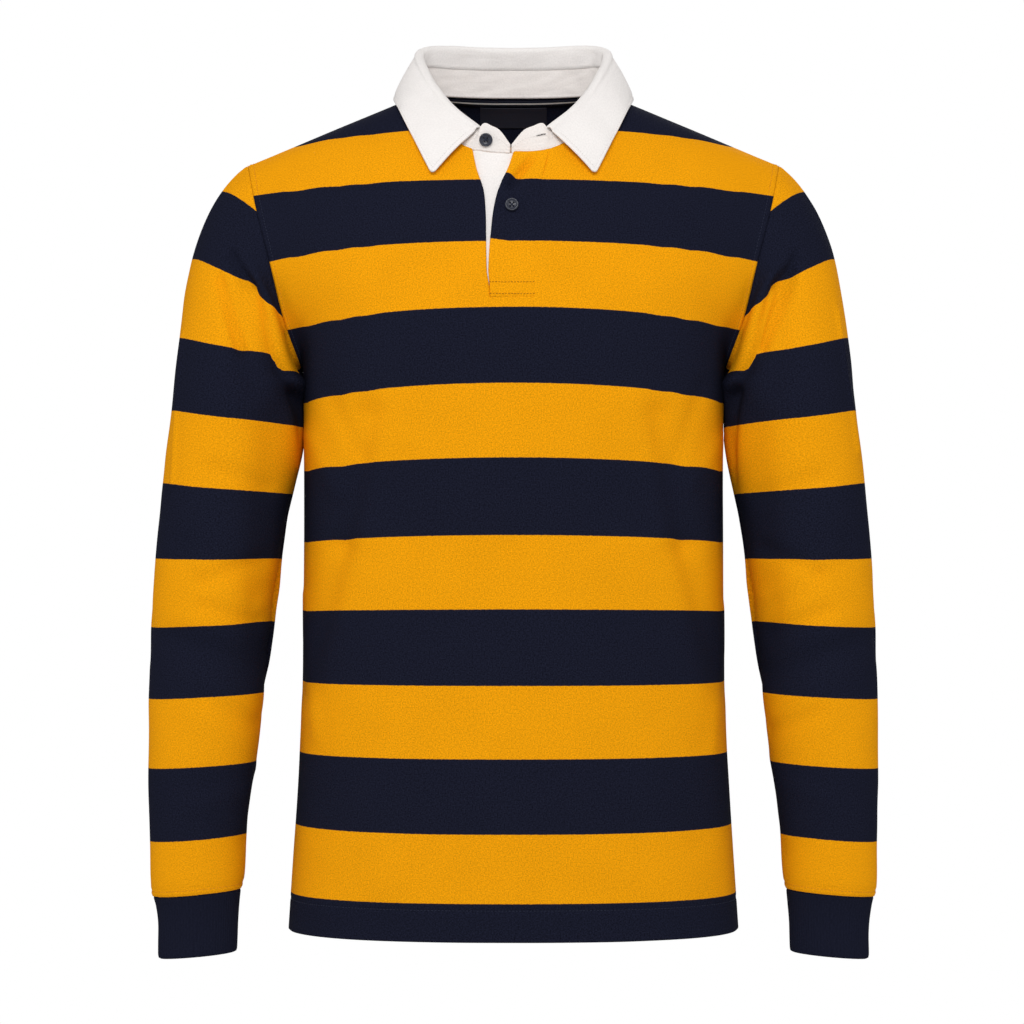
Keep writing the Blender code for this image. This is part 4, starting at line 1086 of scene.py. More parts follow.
def sleeve(along, round_share):
    """A point of the left sleeve's outer face: along is -1 at the armhole, 0 below it and 1 at the cuff."""
    along, round_share = np.broadcast_arrays(np.asarray(along, float), np.asarray(round_share, float))
    low = tube_ring(SLEEVE, np.clip(along, 0, 1), round_share)
    seam = armhole(round_share)
    fold = np.abs(1 - 2 * round_share)
    start = look_up(SLEEVE_START, (1 - fold) / 2)
    start[..., 1] *= np.where(round_share < 0.5, 1, -1)
    ring = tube_ring(SLEEVE, np.zeros_like(along), round_share)
    end = unit(tube_ring(SLEEVE, np.full_like(along, 0.03), round_share) - ring)
    reach = np.linalg.norm(ring - seam, axis=-1, keepdims=True)
    t = np.clip(along + 1, 0, 1)[..., None]
    cap = (
        seam + (ring - seam) * t * t * (3 - 2 * t)
        + reach * start * t * (1 - t) ** 2
        + reach * end * t * t * (t - 1)
    )
    smooth = np.where((along < 0)[..., None], cap, low)
    turned = 2 * np.pi * round_share
    outward = np.stack([-np.cos(turned), -np.sin(turned), 0 * turned], -1)
    fade = np.clip((along + 1) / 0.12, 0, 1) * np.clip((1 - along) / 0.1, 0, 1)
    facing = np.where(round_share < 0.5, -1, 1)
    return raised(smooth, outward * fade[..., None], SLEEVE_FOLDS, facing)


SLEEVE_ROUND = np.concatenate([HIGH_ROWS / 2, 1 - HIGH_ROWS[-2:0:-1] / 2])
CAP_LENGTH, ARM_LENGTH = 150.0, 415.0
cap_steps = np.concatenate([CLOSE_STEPS, np.arange(8.2, 34, 1.8), np.linspace(36, CAP_LENGTH, 27)]) / CAP_LENGTH
RINGS = np.concatenate([cap_steps - 1, spaced(ARM_LENGTH, 4.3, start=False)[1:]])[::-1]
SLEEVE_GIRTH = 330.0
SLEEVE_PLACE = 2000  # on the flat cloth, clear of the body's panels
CUFF_STITCH = 4.5

# How the hoops drift from even lengths up the sleeve
# length, shift at mid girth, further shift towards the underarm
SLEEVE_DRIFT = np.array([
    (0, 0, 0), (171, 0, 0), (234, 1.2, 0), (291, 4.3, 2.5), (353, 6.3, 7), (415, 5.5, 9.6),
    (478, 8.5, 12.5), (547, 11.5, 26), (616, 26, 44), (660, 30, 48),
], float)
SLEEVE_FIRST_LENGTH = 45.0

# The tuck at the front of the armhole: its line from below to above, as height and distance sideways
TUCK_LINE = np.array([
    (-275, 192), (-246, 198.5), (-232, 204.1), (-211, 209.7), (-184.5, 217.5), (-172.5, 222.7), (-160, 230),
    (-147, 237),
], float)
TUCK_DROP = 13.0
TUCK_DEPTH = 6.6
TUCK_REACH = (2.0, 13.0)
ROLL_HEIGHT = 2.6
GAP_DEPTH = 8.0
LARGEST_PUSH = 6.5


def between(values, low, full_low, full_high, high):
    """1 between the two full values, fading to 0 at low and high."""
    rising = np.clip((values - low) / (full_low - low), 0, 1)
    falling = np.clip((high - values) / (high - full_high), 0, 1)
    share = np.minimum(rising, falling)
    return share * share * (3 - 2 * share)


# Finer creases of a sleeve's front, for the wearer's left and right
# x start, z start, x end, z end, spread, height
SLEEVE_CREASES = {
    "left": np.array([
        (246, -146, 229, -170, 4.5, -5.5),
        (243, -158, 214, -226, 4.8, -6.0),
        (196, -266, 190.5, -354, 4.6, -6.0),
        (281, -190, 299, -315, 2.3, 1.9),
        (214, -352, 262, -338, 8, -2.2),
        (216, -398, 262, -420, 7, -3.0),
        (222, -440, 276, -402, 9, 3.0),
        (222, -470, 270, -452, 8, -3.2),
        (226, -505, 296, -482, 11, -3.0),
        (224, -556, 262, -540, 8, -2.4),
        (228, -600, 268, -612, 9, 1.5),
        (236, -660, 270, -640, 8, -1.6),
    ], float),
    "right": np.array([
        (245, -144, 228, -170, 4.5, -5.6),
        (256, -165, 233, -229, 4.8, -6.0),
        (193, -266, 186, -316, 5.0, -4.6),
        (289, -215, 295.5, -345, 2.3, 1.9),
        (215, -345, 258, -330, 8, -2.2),
        (217, -408, 266, -426, 8, -3.0),
        (223, -446, 272, -410, 9, 2.9),
        (222, -462, 268, -448, 7, -3.0),
        (227, -498, 292, -478, 12, -2.9),
        (226, -548, 268, -528, 9, -2.4),
        (229, -608, 262, -616, 8, 1.6),
        (237, -652, 272, -634, 8, -1.6),
    ], float),
}


def mirrored(grid):
    """A closed grid of the left arm as the right arm's, with its columns still running to the right."""
    return np.roll((grid * np.array([-1, 1, 1]))[:, ::-1], 1, axis=1)


def sleeve_piece(side):
    out = sleeve(RINGS[:, None], SLEEVE_ROUND[None, :])
    run = run_up(out)
    normal = normals(out, closed=True)
    armhole_distance = run[-1] - run
    along_fade = np.clip(armhole_distance / 10, 0, 1) * np.clip(run / 12, 0, 1)
    in_front = np.clip(np.sin(2 * np.pi * SLEEVE_ROUND) * 4, 0, 1)[None, :]
    out = creased(out, normal * (along_fade * in_front)[..., None], SLEEVE_CREASES[side])

    # Behind, the arm has the same creases a little lower and nearer the body
    behind = out * np.array([1, 1, 1.04]) + np.array([3, 0, 6])
    rear = np.clip(-np.sin(2 * np.pi * SLEEVE_ROUND) * 4, 0, 1)[None, :]
    out = out + (creased(behind, normal * (along_fade * rear)[..., None], SLEEVE_CREASES[side]) - behind)
    shifted = out + (0.0 if side == "left" else 40.0)  # so that the two arms are not alike
    lumps = uneven(shifted, 30, 0.45) * along_fade
    dip = seam_dip(armhole_distance) + hollow(run, 0.7, 1.6) + hollow(run - CUFF_STITCH, 0.7, 1.0)
    underarm = np.minimum(SLEEVE_ROUND, 1 - SLEEVE_ROUND)[None, :] * SLEEVE_GIRTH
    dip = dip + 0.8 * seam_dip(underarm) * along_fade

    # The tuck: a sharp hollow along its line, a roll of cloth behind it, and a dark gap beside the seam
    x, y, z = np.moveaxis(out, -1, 0)
    behind_tuck = np.interp(z, TUCK_LINE[:, 0], TUCK_LINE[:, 1]) - x
    tucked = between(z, -285, -255, -178, -150) * in_front
    roll = hollow(behind_tuck - 6, ROLL_HEIGHT, 3.5)
    reach = np.where(behind_tuck > 0, *TUCK_REACH)
    dip = dip + tucked * (hollow(behind_tuck, TUCK_DEPTH, reach) - roll)
    gap = hollow(armhole_distance - 4.8, GAP_DEPTH, 3.4) * between(z, -262, -238, -224, -208) * in_front
    spread = np.interp(z, [-245, -172], [1.6, 9.0])
    dropped = TUCK_DROP * between(z, -290, -262, -172, -158) * np.clip(0.5 + behind_tuck / spread, 0, 1)
    dropped += 0.55 * np.clip(behind_tuck, 0, 14) * between(z, -230, -205, -176, -160)
    dropped = dropped * in_front
    out = out + normal * (lumps - dip - gap)[..., None]

    # Inside the arm the sleeve rests against the body's side for a hand's breadth below the underarm
    half_width, front_depth, back_depth = np.moveaxis(look_up(TORSO, z), -1, 0)
    depth = np.where(y < 0, front_depth, back_depth)
    wall_x = half_width * (1 - np.minimum(np.abs(y) / depth, 1) ** GIRTH_SQUARENESS) ** (1 / GIRTH_SQUARENESS)
    inside = np.clip(np.cos(2 * np.pi * SLEEVE_ROUND), 0, 1)[None, :] ** 0.7
    push = LARGEST_PUSH * between(z, -375, -300, -256, -244) * inside * np.clip(armhole_distance / 8, 0, 1)
    out[..., 0] -= np.clip(np.minimum(push, x - wall_x - 0.3), 0, None)

    front_edge, back_edge, turn = (-1, 0, [1, 1, 1]) if side == "left" else (0, -1, [-1, 1, 1])
    out[-1] = turn * np.concatenate([front_out[UNDERARM:, front_edge], back_out[UNDERARM:, back_edge][-2:0:-1]])
    normal = normals(out, closed=True)
    inner = out - normal * JERSEY_THICKNESS

    drift = look_up(SLEEVE_DRIFT, run)
    hoops = run + drift[..., 0] + drift[..., 1] * np.cos(2 * np.pi * SLEEVE_ROUND)[None, :] + SLEEVE_FIRST_LENGTH
    hoops = hoops + dropped
    hoops = np.concatenate([hoops, hoops[:, :1]], 1)
    turned = np.append(SLEEVE_ROUND, 1.0)[None, :] * SLEEVE_GIRTH + SLEEVE_PLACE
    cloth = np.stack([turned + 0 * hoops, hoops], -1)
    seam = np.minimum(armhole_distance, underarm)
    if side == "right":
        out, inner = mirrored(out), mirrored(inner)
        cloth, seam = cloth[:, ::-1], np.roll(seam[:, ::-1], 1, axis=1)
    name = "sleeve_" + side
    piece = cloth_piece(name + "_panel", out, inner, cloth, seam, closed=True, flush=True)
    dressed(piece, name, hooped_jersey)
    around = np.linspace(0, out.shape[1] - 1.01, 180)
    above_cuff = np.interp(CUFF_STITCH, run[:, 0], np.arange(len(run)))
    stitches = stitch_row(name + "_stitches", [
        on_cloth(out, cloth[:, :-1], above_cuff + 0 * around, around)], hoop_thread)
    return out


sleeve_left = sleeve_piece("left")
sleeve_right = sleeve_piece("right")

# Cuffs
# Bands of navy rib knit, doubled over at the wrist and sewn to the sleeves' ends, which they draw in.
RIB_THICKNESS = 2.6
# share of its length, outer x, outer z, inner x, inner z, middle y, half depth
CUFF = np.array([
    (0.00, 314.2, -701.4, 237.6, -694.9, -29, 32),
    (0.14, 312.2, -708, 238.6, -702, -29, 29.5),
    (0.32, 310.6, -718, 239.4, -711, -29, 27),
    (1.00, 309.8, -755, 241, -749, -29, 24),
], float)
CUFF_LENGTH, CUFF_GIRTH = 56.0, 185.0
RIB_PITCH = 2.3


def rib_knit():
    """Navy rib: fine upright ribs from the place round the cuff, a mottled surface, and painted shade along its seam.
    """
    material, start, shader = new_material("navy_rib", 0.95, 0.03)
    cloth, u, v = flat_cloth(start)
    mottle, ribs, courses = cloth.noise(700.0, 2.0), u.wave(RIB_PITCH), v.wave(1.0)
    # Painted shade: within 1 mm of the seam to the sleeve the rib's colour is darkened by up to 0.3, for the shade in
    # the seam's groove.
    line = (1 - from_seam_line(start)).kept_within()
    shade = (mottle * 0.8 + ribs * 0.03 + 1) * (1 - line * 0.3)
    shade.shading(NAVY[:3]).into(shader, "Base Color")
    (ribs + courses * 0.15 + mottle * 0.8).bumps(0.35, 0.0004).into(shader, "Normal")
    return material


navy_rib = rib_knit()
for side, sign, sleeve_end in (("left", 1, sleeve_left), ("right", -1, sleeve_right)):
    cuff_along = (1 - spaced(CUFF_LENGTH, 2.6))[:, None]
    cuff_out = tube_ring(CUFF, cuff_along, SLEEVE_ROUND[None, :])
    cuff_normal = normals(cuff_out, closed=True)
    from_seam = cuff_along * CUFF_LENGTH
    from_edge = (1 - cuff_along) * CUFF_LENGTH
    dip = hollow(from_seam, 0.9, 1.5) + hollow(from_edge, 0.5, 1.4)
    lumps = uneven(cuff_out + 20 * sign, 16, 0.3) * np.clip(from_seam / 8, 0, 1) * np.clip(from_edge / 20, 0.3, 1)
    cuff_out = cuff_out + cuff_normal * (lumps - dip)[..., None]
    if sign < 0:
        cuff_out = mirrored(cuff_out)
    cuff_out[-1] = sleeve_end[0]
    cuff_in = cuff_out - normals(cuff_out, closed=True) * RIB_THICKNESS
    turned = np.append(SLEEVE_ROUND, 1.0)[None, :] * CUFF_GIRTH
    cloth = np.stack([turned + 0 * from_edge, from_edge + 0 * turned], -1)
    name = "cuff_" + side
    cuff = cloth_piece(name + "_rib", cuff_out, cuff_in, cloth, from_seam, closed=True, flush=True)
    dressed(cuff, name, navy_rib)
    "sleeve_" + side

# Placket, lower layer
# A white cotton strip behind the slit. It shows as a narrow wedge where the front is open at the neck.
PLACKET_THICKNESS = 1.6
LAY_GAP = 0.4
COTTON_WHITE = (0.90, 0.862, 0.84)
TWILL_PITCH = 0.9
# How far the strip reaches past the slit's edge and the sewn edge at its foot, and its edges' shares round the
# neckline at its top
UNDER_REACH = (-6, 2)
UNDER_ENDS = (-0.88, 0.935)
# How far up the front it starts and ends
UNDER_RISE = (PLACKET_FOOT - 0.015, 0.996)


def white_twill(name, colour):
    """White cotton twill: fine diagonal ribs and a slightly uneven surface."""
    material, start, shader = new_material(name, 0.9, 0.08)
    cloth, u, v = flat_cloth(start)
    mottle, broad = cloth.noise(650.0, 1.0), cloth.noise(45.0, 2.0)
    diagonal = (u + v).wave(TWILL_PITCH)
    pucker = ((u + v) * 1.6).math("SINE") * (1 - from_seam_line(start) / 5).kept_within()
    stretched = start.node("ShaderNodeMapping", values={"Vector": cloth, "Scale": (20, 75, 1)})
    wrinkle = start.node("ShaderNodeTexNoise", {"noise_dimensions": "2D"},
                         {"Vector": stretched, "Scale": 1.0, "Detail": 2.0, "Distortion": 0.8}) - 0.5
    (mottle * 0.15 + broad * 0.05 + 1).shading(colour).into(shader, "Base Color")
    height = diagonal * 0.3 + mottle * 0.8 + pucker * 0.5 + broad * 2 + wrinkle * 5
    height.bumps(0.4, 0.0004).into(shader, "Normal")
    return material


cotton_twill = white_twill("white_twill", COTTON_WHITE)


def placket_strip(foot_columns, top_columns, rows, depth, thickness, curve=OPENING_CURVE):
    """A strip on the line of the front: foot and top give its columns, depth how far it lies behind."""
    rise = np.clip((rows - PLACKET_FOOT) / (1 - PLACKET_FOOT), 0, 1)[:, None] ** curve
    across = foot_columns + (top_columns - foot_columns) * rise
    grid = body(across, rows[:, None], -1)
    normal = normals(grid)
    return across, grid - normal * depth, grid - normal * (depth + thickness)


under_shares = spaced(40, 2.6)
under_width = SEWN_EDGE[0] - SLIT_EDGE[0] + UNDER_REACH[1]
under_foot = across_at(SLIT_EDGE[0] + UNDER_REACH[0] + under_width * under_shares, PLACKET_FOOT, -1)
under_ends = neck_across(UNDER_ENDS, -1)
under_top = under_ends[0] + (under_ends[1] - under_ends[0]) * under_shares
under_rows = UNDER_RISE[0] + (UNDER_RISE[1] - UNDER_RISE[0]) * spaced(205, 4.0)
under_across, under_out, under_in = placket_strip(
    under_foot, under_top, under_rows, JERSEY_THICKNESS + 1.5 * LAY_GAP, PLACKET_THICKNESS)
under_normal = normals(under_out)
lumps = uneven(under_out, 12, 0.25)[..., None]
under_fade = np.clip((1 - under_rows) * PLACKET_LENGTH / 14, 0, 1)[:, None, None]
pressed = creased(under_out, under_normal * under_fade, FRONT_CREASES[:3]) - under_out
under_out, under_in = under_out + pressed - under_normal * np.abs(lumps) * 0.5, under_in + pressed
under_cloth = np.stack([under_across * PANEL_QUARTER, run_up(under_out)], -1)
placket_under = cloth_piece("placket_under_strip", under_out, under_in, under_cloth, NO_SEAM)
dressed(placket_under, "placket_under", cotton_twill)

# Placket, upper layer
# A doubled strip of the hooped jersey, sewn to the front along one side and across its foot. Its free
# edge laps over the white strip, and it carries the lower button.
OVERLAP_EDGE = (-20.0, 0.9995)
FOOT_STITCHES = (2.8, 13.0)
FREE_EDGE_CURVE = 2.05
# How far its hoops stand below the front's at the free edge
FREE_EDGE_DROP = 6.5
top_shares = spaced(38, 2.4)
top_foot = across_at(OVERLAP_EDGE[0] + (SEWN_EDGE[0] - OVERLAP_EDGE[0]) * top_shares, PLACKET_FOOT, -1)
top_ends = neck_across([OVERLAP_EDGE[1], SEWN_EDGE[1]], -1)
top_top = top_ends[0] + (top_ends[1] - top_ends[0]) * top_shares
lean = FREE_EDGE_CURVE + (OPENING_CURVE - FREE_EDGE_CURVE) * top_shares
top_across, top_out, top_in = placket_strip(top_foot, top_top, PLACKET_ROWS, 0, PLACKET_THICKNESS, lean)
bow = look_up(SLIT_BOW, top_out[..., 2])[..., 1] * (1 - top_shares) ** 1.5
top_out[..., 0] += bow
top_normal = normals(top_out)
free_distance = np.linalg.norm(top_out - top_out[:, :1], axis=-1)
joined_distance = np.linalg.norm(top_out - top_out[:, -1:], axis=-1)
from_foot = run_up(top_out)
from_neck = from_foot[-1] - from_foot
dip = 0.35 * seam_dip(joined_distance) + seam_dip(from_foot) + seam_dip(from_neck)
dip = dip - 0.5 * np.clip(1 - free_distance / 14, 0, 1) + hollow(free_distance, 0.5, 0.9)
dip = dip + hollow(from_foot - FOOT_STITCHES[1], 0.35, 1.3)
top_out = creased(top_out, top_normal * np.clip(from_neck / 14, 0, 1)[..., None], FRONT_CREASES[:3])
top_out = top_out + top_normal * (uneven(top_out, 15, 0.2) - dip)[..., None]
top_out[:, -1] = front_out[FOOT:, SEWN]
top_in = top_out - normals(top_out) * PLACKET_THICKNESS
placket_length = np.stack([
    np.interp(row, front_across[i], front_length[i]) for i, row in zip(range(FOOT, len(ROWS)), top_across)])
drift = look_up(HOOP_DRIFT, placket_length)
hoops = placket_length + drift[..., 0] + drift[..., 1] * top_across ** 2
above_button = np.clip((PLACKET_ROWS[:, None] - 0.5) / 0.2, 0, 1)
hoops = hoops - FREE_EDGE_DROP * np.clip(1 - free_distance / 16, 0, 1) * above_button
top_cloth = np.stack([top_across * PANEL_QUARTER, hoops], -1)
placket_seam = np.minimum(from_neck, from_foot)
placket_top = cloth_piece("placket_top_strip", top_out, top_in, top_cloth, placket_seam, flush=True)
dressed(placket_top, "placket_top", hooped_jersey)
stitch_cols = np.linspace(0.6, len(top_shares) - 1.6, 30)
foot_rows = np.interp(FOOT_STITCHES, from_foot[:, 0], np.arange(len(PLACKET_ROWS)))


def plain(name, colour, roughness, specular):
    """A material of one colour all over."""
    material, _, shader = new_material(name, roughness, specular)
    shader.inputs["Base Color"].default_value = (*colour, 1)
    return material


brown_thread = plain("brown_thread", (0.30, 0.115, 0.006), 0.8, 0.1)
placket_stitches = stitch_row("placket_stitches", [
    on_cloth(top_out, top_cloth, foot_rows[0] + 0 * stitch_cols, stitch_cols),
    on_cloth(top_out, top_cloth, foot_rows[1] + 0 * stitch_cols, stitch_cols),
], brown_thread, pitch=2.6, length=2.0, width=0.65)

# Collar stand
# A band of white twill sewn round the neck. Its two rounded ends come forward past the leaf, and the
# upper button joins them.
COLLAR_THICKNESS = 2.0
WARM_WHITE = (0.90, 0.848, 0.815)
# The collar on the wearer's left, from the centre back (0) to the front (1): the top of the stand, the crest
# where the leaf folds over, and the leaf's outer edge
# around, stand x, y, z, crest x, y, z, edge x, y, z
COLLAR = np.array([
    (0.00, 0, 60, 29, 0, 59, 48.8, 0, 74, -4),
    (0.12, 30, 56, 29, 31, 56, 49, 37, 72, -4),
    (0.25, 57, 44, 29, 60, 45, 49, 74, 61, -7),
    (0.38, 76, 25, 28, 80, 27, 45, 98, 36, -5.5),
    (0.50, 81.5, 4, 22, 83, 4, 35, 106, -2, -4.5),
    (0.58, 74, -28, 3, 75, -26, 16, 100, -42.5, -17.5),
    (0.71, 59, -60, -20, 57.5, -58, -10, 86.5, -75, -45),
    (0.91, 31, -84, -42, 30, -86, -36, 70, -98, -78),
], float)
FOLD_RADIUS = 4.5
STAND_STITCH = 3.2
# The top edge of the stand's two ends, forward of the leaf
# around, x, y, z
STAND_END = np.array([
    (0.9100, 31, -84, -42),
    (0.9230, 27.5, -87, -36.3),
    (0.9560, 18.5, -88.5, -37.5),
    (0.9795, 11, -89.5, -42.5),
    (0.9960, 3.6, -89.5, -53),
], float)

# Shares round the neckline where the leaf ends and where the stand ends
LEAF_END, STAND_TIP = COLLAR[-1, 0], STAND_END[-1, 0]
leaf_half = np.concatenate([np.linspace(0, 0.5, 34), 0.5 + (LEAF_END - 0.5) * spaced(150, 3.0, start=False)[1:]])
end_half = LEAF_END + (STAND_TIP - LEAF_END) * spaced(35, 2.2, start=False)[1:]
STAND_ROUND = np.concatenate([leaf_half, end_half])
STAND_ROUND = np.concatenate([STAND_ROUND[::-1], -STAND_ROUND[1:]])


def neckline(around):
    """Points of the neck seam at signed shares round it, on the panels as they were sewn."""
    points = []
    for share in around:
        facing = -1 if abs(share) > 0.5 else 1
        column = neck_across(share, facing)
        if facing < 0:
            points.append([np.interp(column, front_across[-1], front_out[-1, :, k]) for k in range(3)])
        else:
            points.append([np.interp(column, back_columns, back_out[-1, ::-1, k]) for k in range(3)])
    return np.array(points)


def signed(points, around):
    return points * np.stack([np.where(around < 0, -1, 1), np.ones_like(around), np.ones_like(around)], -1)


covered = np.abs(STAND_ROUND) <= LEAF_END + 1e-9
stand_base = neckline(STAND_ROUND)
stand_top = np.where(
    covered[:, None], look_up(COLLAR[:, :4], np.abs(STAND_ROUND)), look_up(STAND_END, np.abs(STAND_ROUND)))
stand_top = signed(stand_top, STAND_ROUND)
tip = np.clip((STAND_ROUND - 0.93) / 0.066, 0, 1)[:, None] * np.array([-4.5, 0, 0])
stand_base, stand_top = stand_base + tip, stand_top + tip
stand_shares = spaced(33, 2.2)[:, None, None]
stand_out = stand_base + (stand_top - stand_base) * stand_shares
stand_normal = normals(stand_out)
stand_run, up_stand = run_across(stand_out)[0], run_up(stand_out)
dip = seam_dip(up_stand) + hollow(up_stand - STAND_STITCH, 0.3, 0.9)
above_seam = np.clip(up_stand / 5, 0, 1)
lumps = uneven(stand_out, 14, 0.25) * above_seam
stand_out[1:] += (stand_normal * (lumps - dip)[..., None])[1:]
lumps = uneven(stand_out * np.array([1, 1, 1.6]), 8, 0.4) * above_seam * np.clip((stand_run[-1] - stand_run) / 40, 0, 1)
lumps = lumps[..., None] * np.clip(stand_run / 40, 0, 1)[:, None]
stand_in = stand_out - normals(stand_out) * (COLLAR_THICKNESS + lumps)
stand_cloth = np.stack([stand_run + 0 * up_stand, up_stand], -1)
stand = cloth_piece("collar_stand_band", stand_out, stand_in, stand_cloth, up_stand, flush=True)
dressed(stand, "collar_stand", white_twill("warm_white_twill", WARM_WHITE))

white_thread = plain("white_thread", (0.70, 0.66, 0.63), 0.7, 0.2)
stand_cols = np.linspace(0.5, len(STAND_ROUND) - 1.6, 400)
low_row = np.interp(STAND_STITCH, up_stand[:, 0], np.arange(len(up_stand)))
stand_stitches = stitch_row(
    "stand_stitches", [on_cloth(stand_out, stand_cloth, low_row + 0 * stand_cols, stand_cols)],
    white_thread, pitch=2.6, length=1.9, width=0.4)

# Buttonhole at the stand's other end: a slit, widest at its middle, bound with close stitches. The slit is not cut: a
# thin dark sheet laid just above the cloth is its painted shadow.
BUTTONHOLE = ((19.5, -45.2), (27.5, -43.4))
HOLE_HALF_WIDTH = 0.75
hole_end = stand_out[:, :20]


def on_stand(x, z):
    """The point of the stand's end at a place in the front view, and the way that the cloth faces there."""
    distance = np.hypot(hole_end[..., 0] - x, hole_end[..., 2] - z)
    row, column = np.unravel_index(distance.argmin(), distance.shape)
    facing = normals(hole_end)[row, column]
    place = hole_end[row, column]
    y = place[1] - (facing[0] * (x - place[0]) + facing[2] * (z - place[2])) / facing[1]
    return np.array([x, y, z]), facing


hole_points, hole_facing = zip(*[on_stand(x, z) for x, z in np.linspace(*BUTTONHOLE, 9)])
hole_points, hole_facing = np.array(hole_points), np.array(hole_facing)
slant = unit(hole_points[-1] - hole_points[0])
across_slit = unit(np.cross(hole_facing, slant))
wide = HOLE_HALF_WIDTH * np.sin(np.linspace(0.25, np.pi - 0.25, 9))[:, None] ** 0.5
# Painted shadow: a thin dark sheet just above the cloth stands in for the shade seen through the buttonhole's opening.
bm = bmesh.new()
rails = []
for offset, lift in ((-1, 0.02), (-1, 0.16), (1, 0.16), (1, 0.02)):
    rail = hole_points + across_slit * wide * offset * 0.6 + hole_facing * lift
    rails.append([bm.verts.new(point * MM) for point in rail])
for rail, following in zip(rails, rails[1:] + rails[:1]):
    for i in range(8):
        bm.faces.new((rail[i], following[i], following[i + 1], rail[i + 1]))
bm.faces.new([rail[0] for rail in rails][::-1])
bm.faces.new([rail[-1] for rail in rails])
bmesh.ops.recalc_face_normals(bm, faces=bm.faces)
slit_shadow_mesh = bpy.data.meshes.new("buttonhole_painted_shadow")
bm.to_mesh(slit_shadow_mesh)
bm.free()
slit_shadow_mesh.materials.append(plain("slit_shade", (0.05, 0.045, 0.045), 1.0, 0.0))
slit = bpy.data.objects.new("buttonhole_painted_shadow", slit_shadow_mesh)
scene.collection.objects.link(slit)
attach(slit, "root")
loop = np.concatenate([hole_points + across_slit * wide * 1.25, (hole_points - across_slit * wide * 1.25)[::-1]])
loop = np.concatenate([loop, loop[:1]])
loop_facing = np.concatenate([hole_facing, hole_facing[::-1], hole_facing[:1]])
buttonhole = stitch_row("buttonhole_stitches", [(loop, loop_facing, np.zeros(len(loop)))], white_thread,
                        pitch=0.55, length=0.7, width=0.5)

# Collar leaf
# The fold-over part, cut from white twill in two layers and turned, with rounded points. It starts on top
# of the stand, rolls over at the crest and falls outside, and is stitched 3.4 mm inside its edges.
LEAF_STITCH = 3.4
POINT_RADIUS = 5.0
LEAF_BULGE = 2.1
# The length up the leaf past which it lies inside the fold
OVER_FOLD = 60
SEAM_GAP = 0.12
around = STAND_ROUND[covered]
shape = look_up(COLLAR, np.abs(around))
crest, edge_line = signed(shape[:, 3:6], around), signed(shape[:, 6:9], around)
band_out, band_in = stand_out[-1, covered], stand_in[-1, covered]
rise = unit(crest - band_out)
fall = edge_line - crest
outward = unit(fall - (fall * rise).sum(-1, keepdims=True) * rise)
outer_start = crest + FOLD_RADIUS * (outward - rise)
leaf_rows = []
for share in spaced(52, 2.8, end=False):
    bulge = LEAF_BULGE * np.sin(np.pi * share) ** 0.8
    leaf_rows.append(edge_line + (outer_start - edge_line) * share + outward * bulge)
for angle in np.radians(np.linspace(15, 180, 12)):
    leaf_rows.append(crest + FOLD_RADIUS * (outward * np.cos(angle) - rise * (1 - np.sin(angle))))
inside_top, inside_end = leaf_rows[-1], band_in - rise * 1.2 + unit(band_in - band_out) * 0.5
for share in np.linspace(0.2, 1, 5):
    leaf_rows.append(inside_top + (inside_end - inside_top) * share)
leaf_out = np.stack(leaf_rows)
leaf_normal = normals(leaf_out)
leaf_across, leaf_up = run_across(leaf_out), run_up(leaf_out)
front_edge = np.minimum(leaf_across, leaf_across[:, -1:] - leaf_across)
edge_distance = np.minimum(front_edge, leaf_up)

# Rounded points: places near both edges move in from the square corner on to a quarter circle
p, q = np.clip(POINT_RADIUS - front_edge, 0, None), np.clip(POINT_RADIUS - leaf_up, 0, None)
corner = np.hypot(p, q)
shrink = np.where(corner > 0, 1 - np.maximum(p, q) / np.maximum(corner, 1e-6), 0) * (p > 0) * (q > 0)
sideways = unit(leaf_out[:, [1]] - leaf_out[:, [0]]), unit(leaf_out[:, [-2]] - leaf_out[:, [-1]])
upward = unit(leaf_out[3:4] - leaf_out[0:1])
middle = leaf_out.shape[1] // 2
to_side = np.concatenate([
    np.broadcast_to(sideways[0], leaf_out[:, :middle].shape),
    np.broadcast_to(sideways[1], leaf_out[:, middle:].shape)], 1)
leaf_out = leaf_out + (to_side * (p * shrink)[..., None] + upward * (q * shrink)[..., None])
dip = hollow(edge_distance - LEAF_STITCH, 0.5, 1.0) + hollow(edge_distance, 0.35, 0.8)
dip = dip * (leaf_up < OVER_FOLD)
lumps = uneven(leaf_out, 22, 0.35) * np.clip(leaf_up / 10, 0, 1) * (leaf_up < 52)
inside_share = np.clip((leaf_up - OVER_FOLD) / 6, 0, 1) * np.clip((leaf_up[-1] - leaf_up) / 3, 0, 1)
lumps = lumps + uneven(leaf_out + 9, 9, 0.45) * inside_share
leaf_out = leaf_out + leaf_normal * (lumps - dip)[..., None]
leaf_in = leaf_out - normals(leaf_out) * COLLAR_THICKNESS
leaf_in[-1] = band_out + rise * SEAM_GAP
leaf_cloth = np.stack([leaf_across, leaf_up + 60], -1)  # clear of the stand's own place in the twill
leaf = cloth_piece("collar_leaf_fold", leaf_out, leaf_in, leaf_cloth, edge_distance, rounded=0.45)
dressed(leaf, "collar_leaf", cotton_twill)


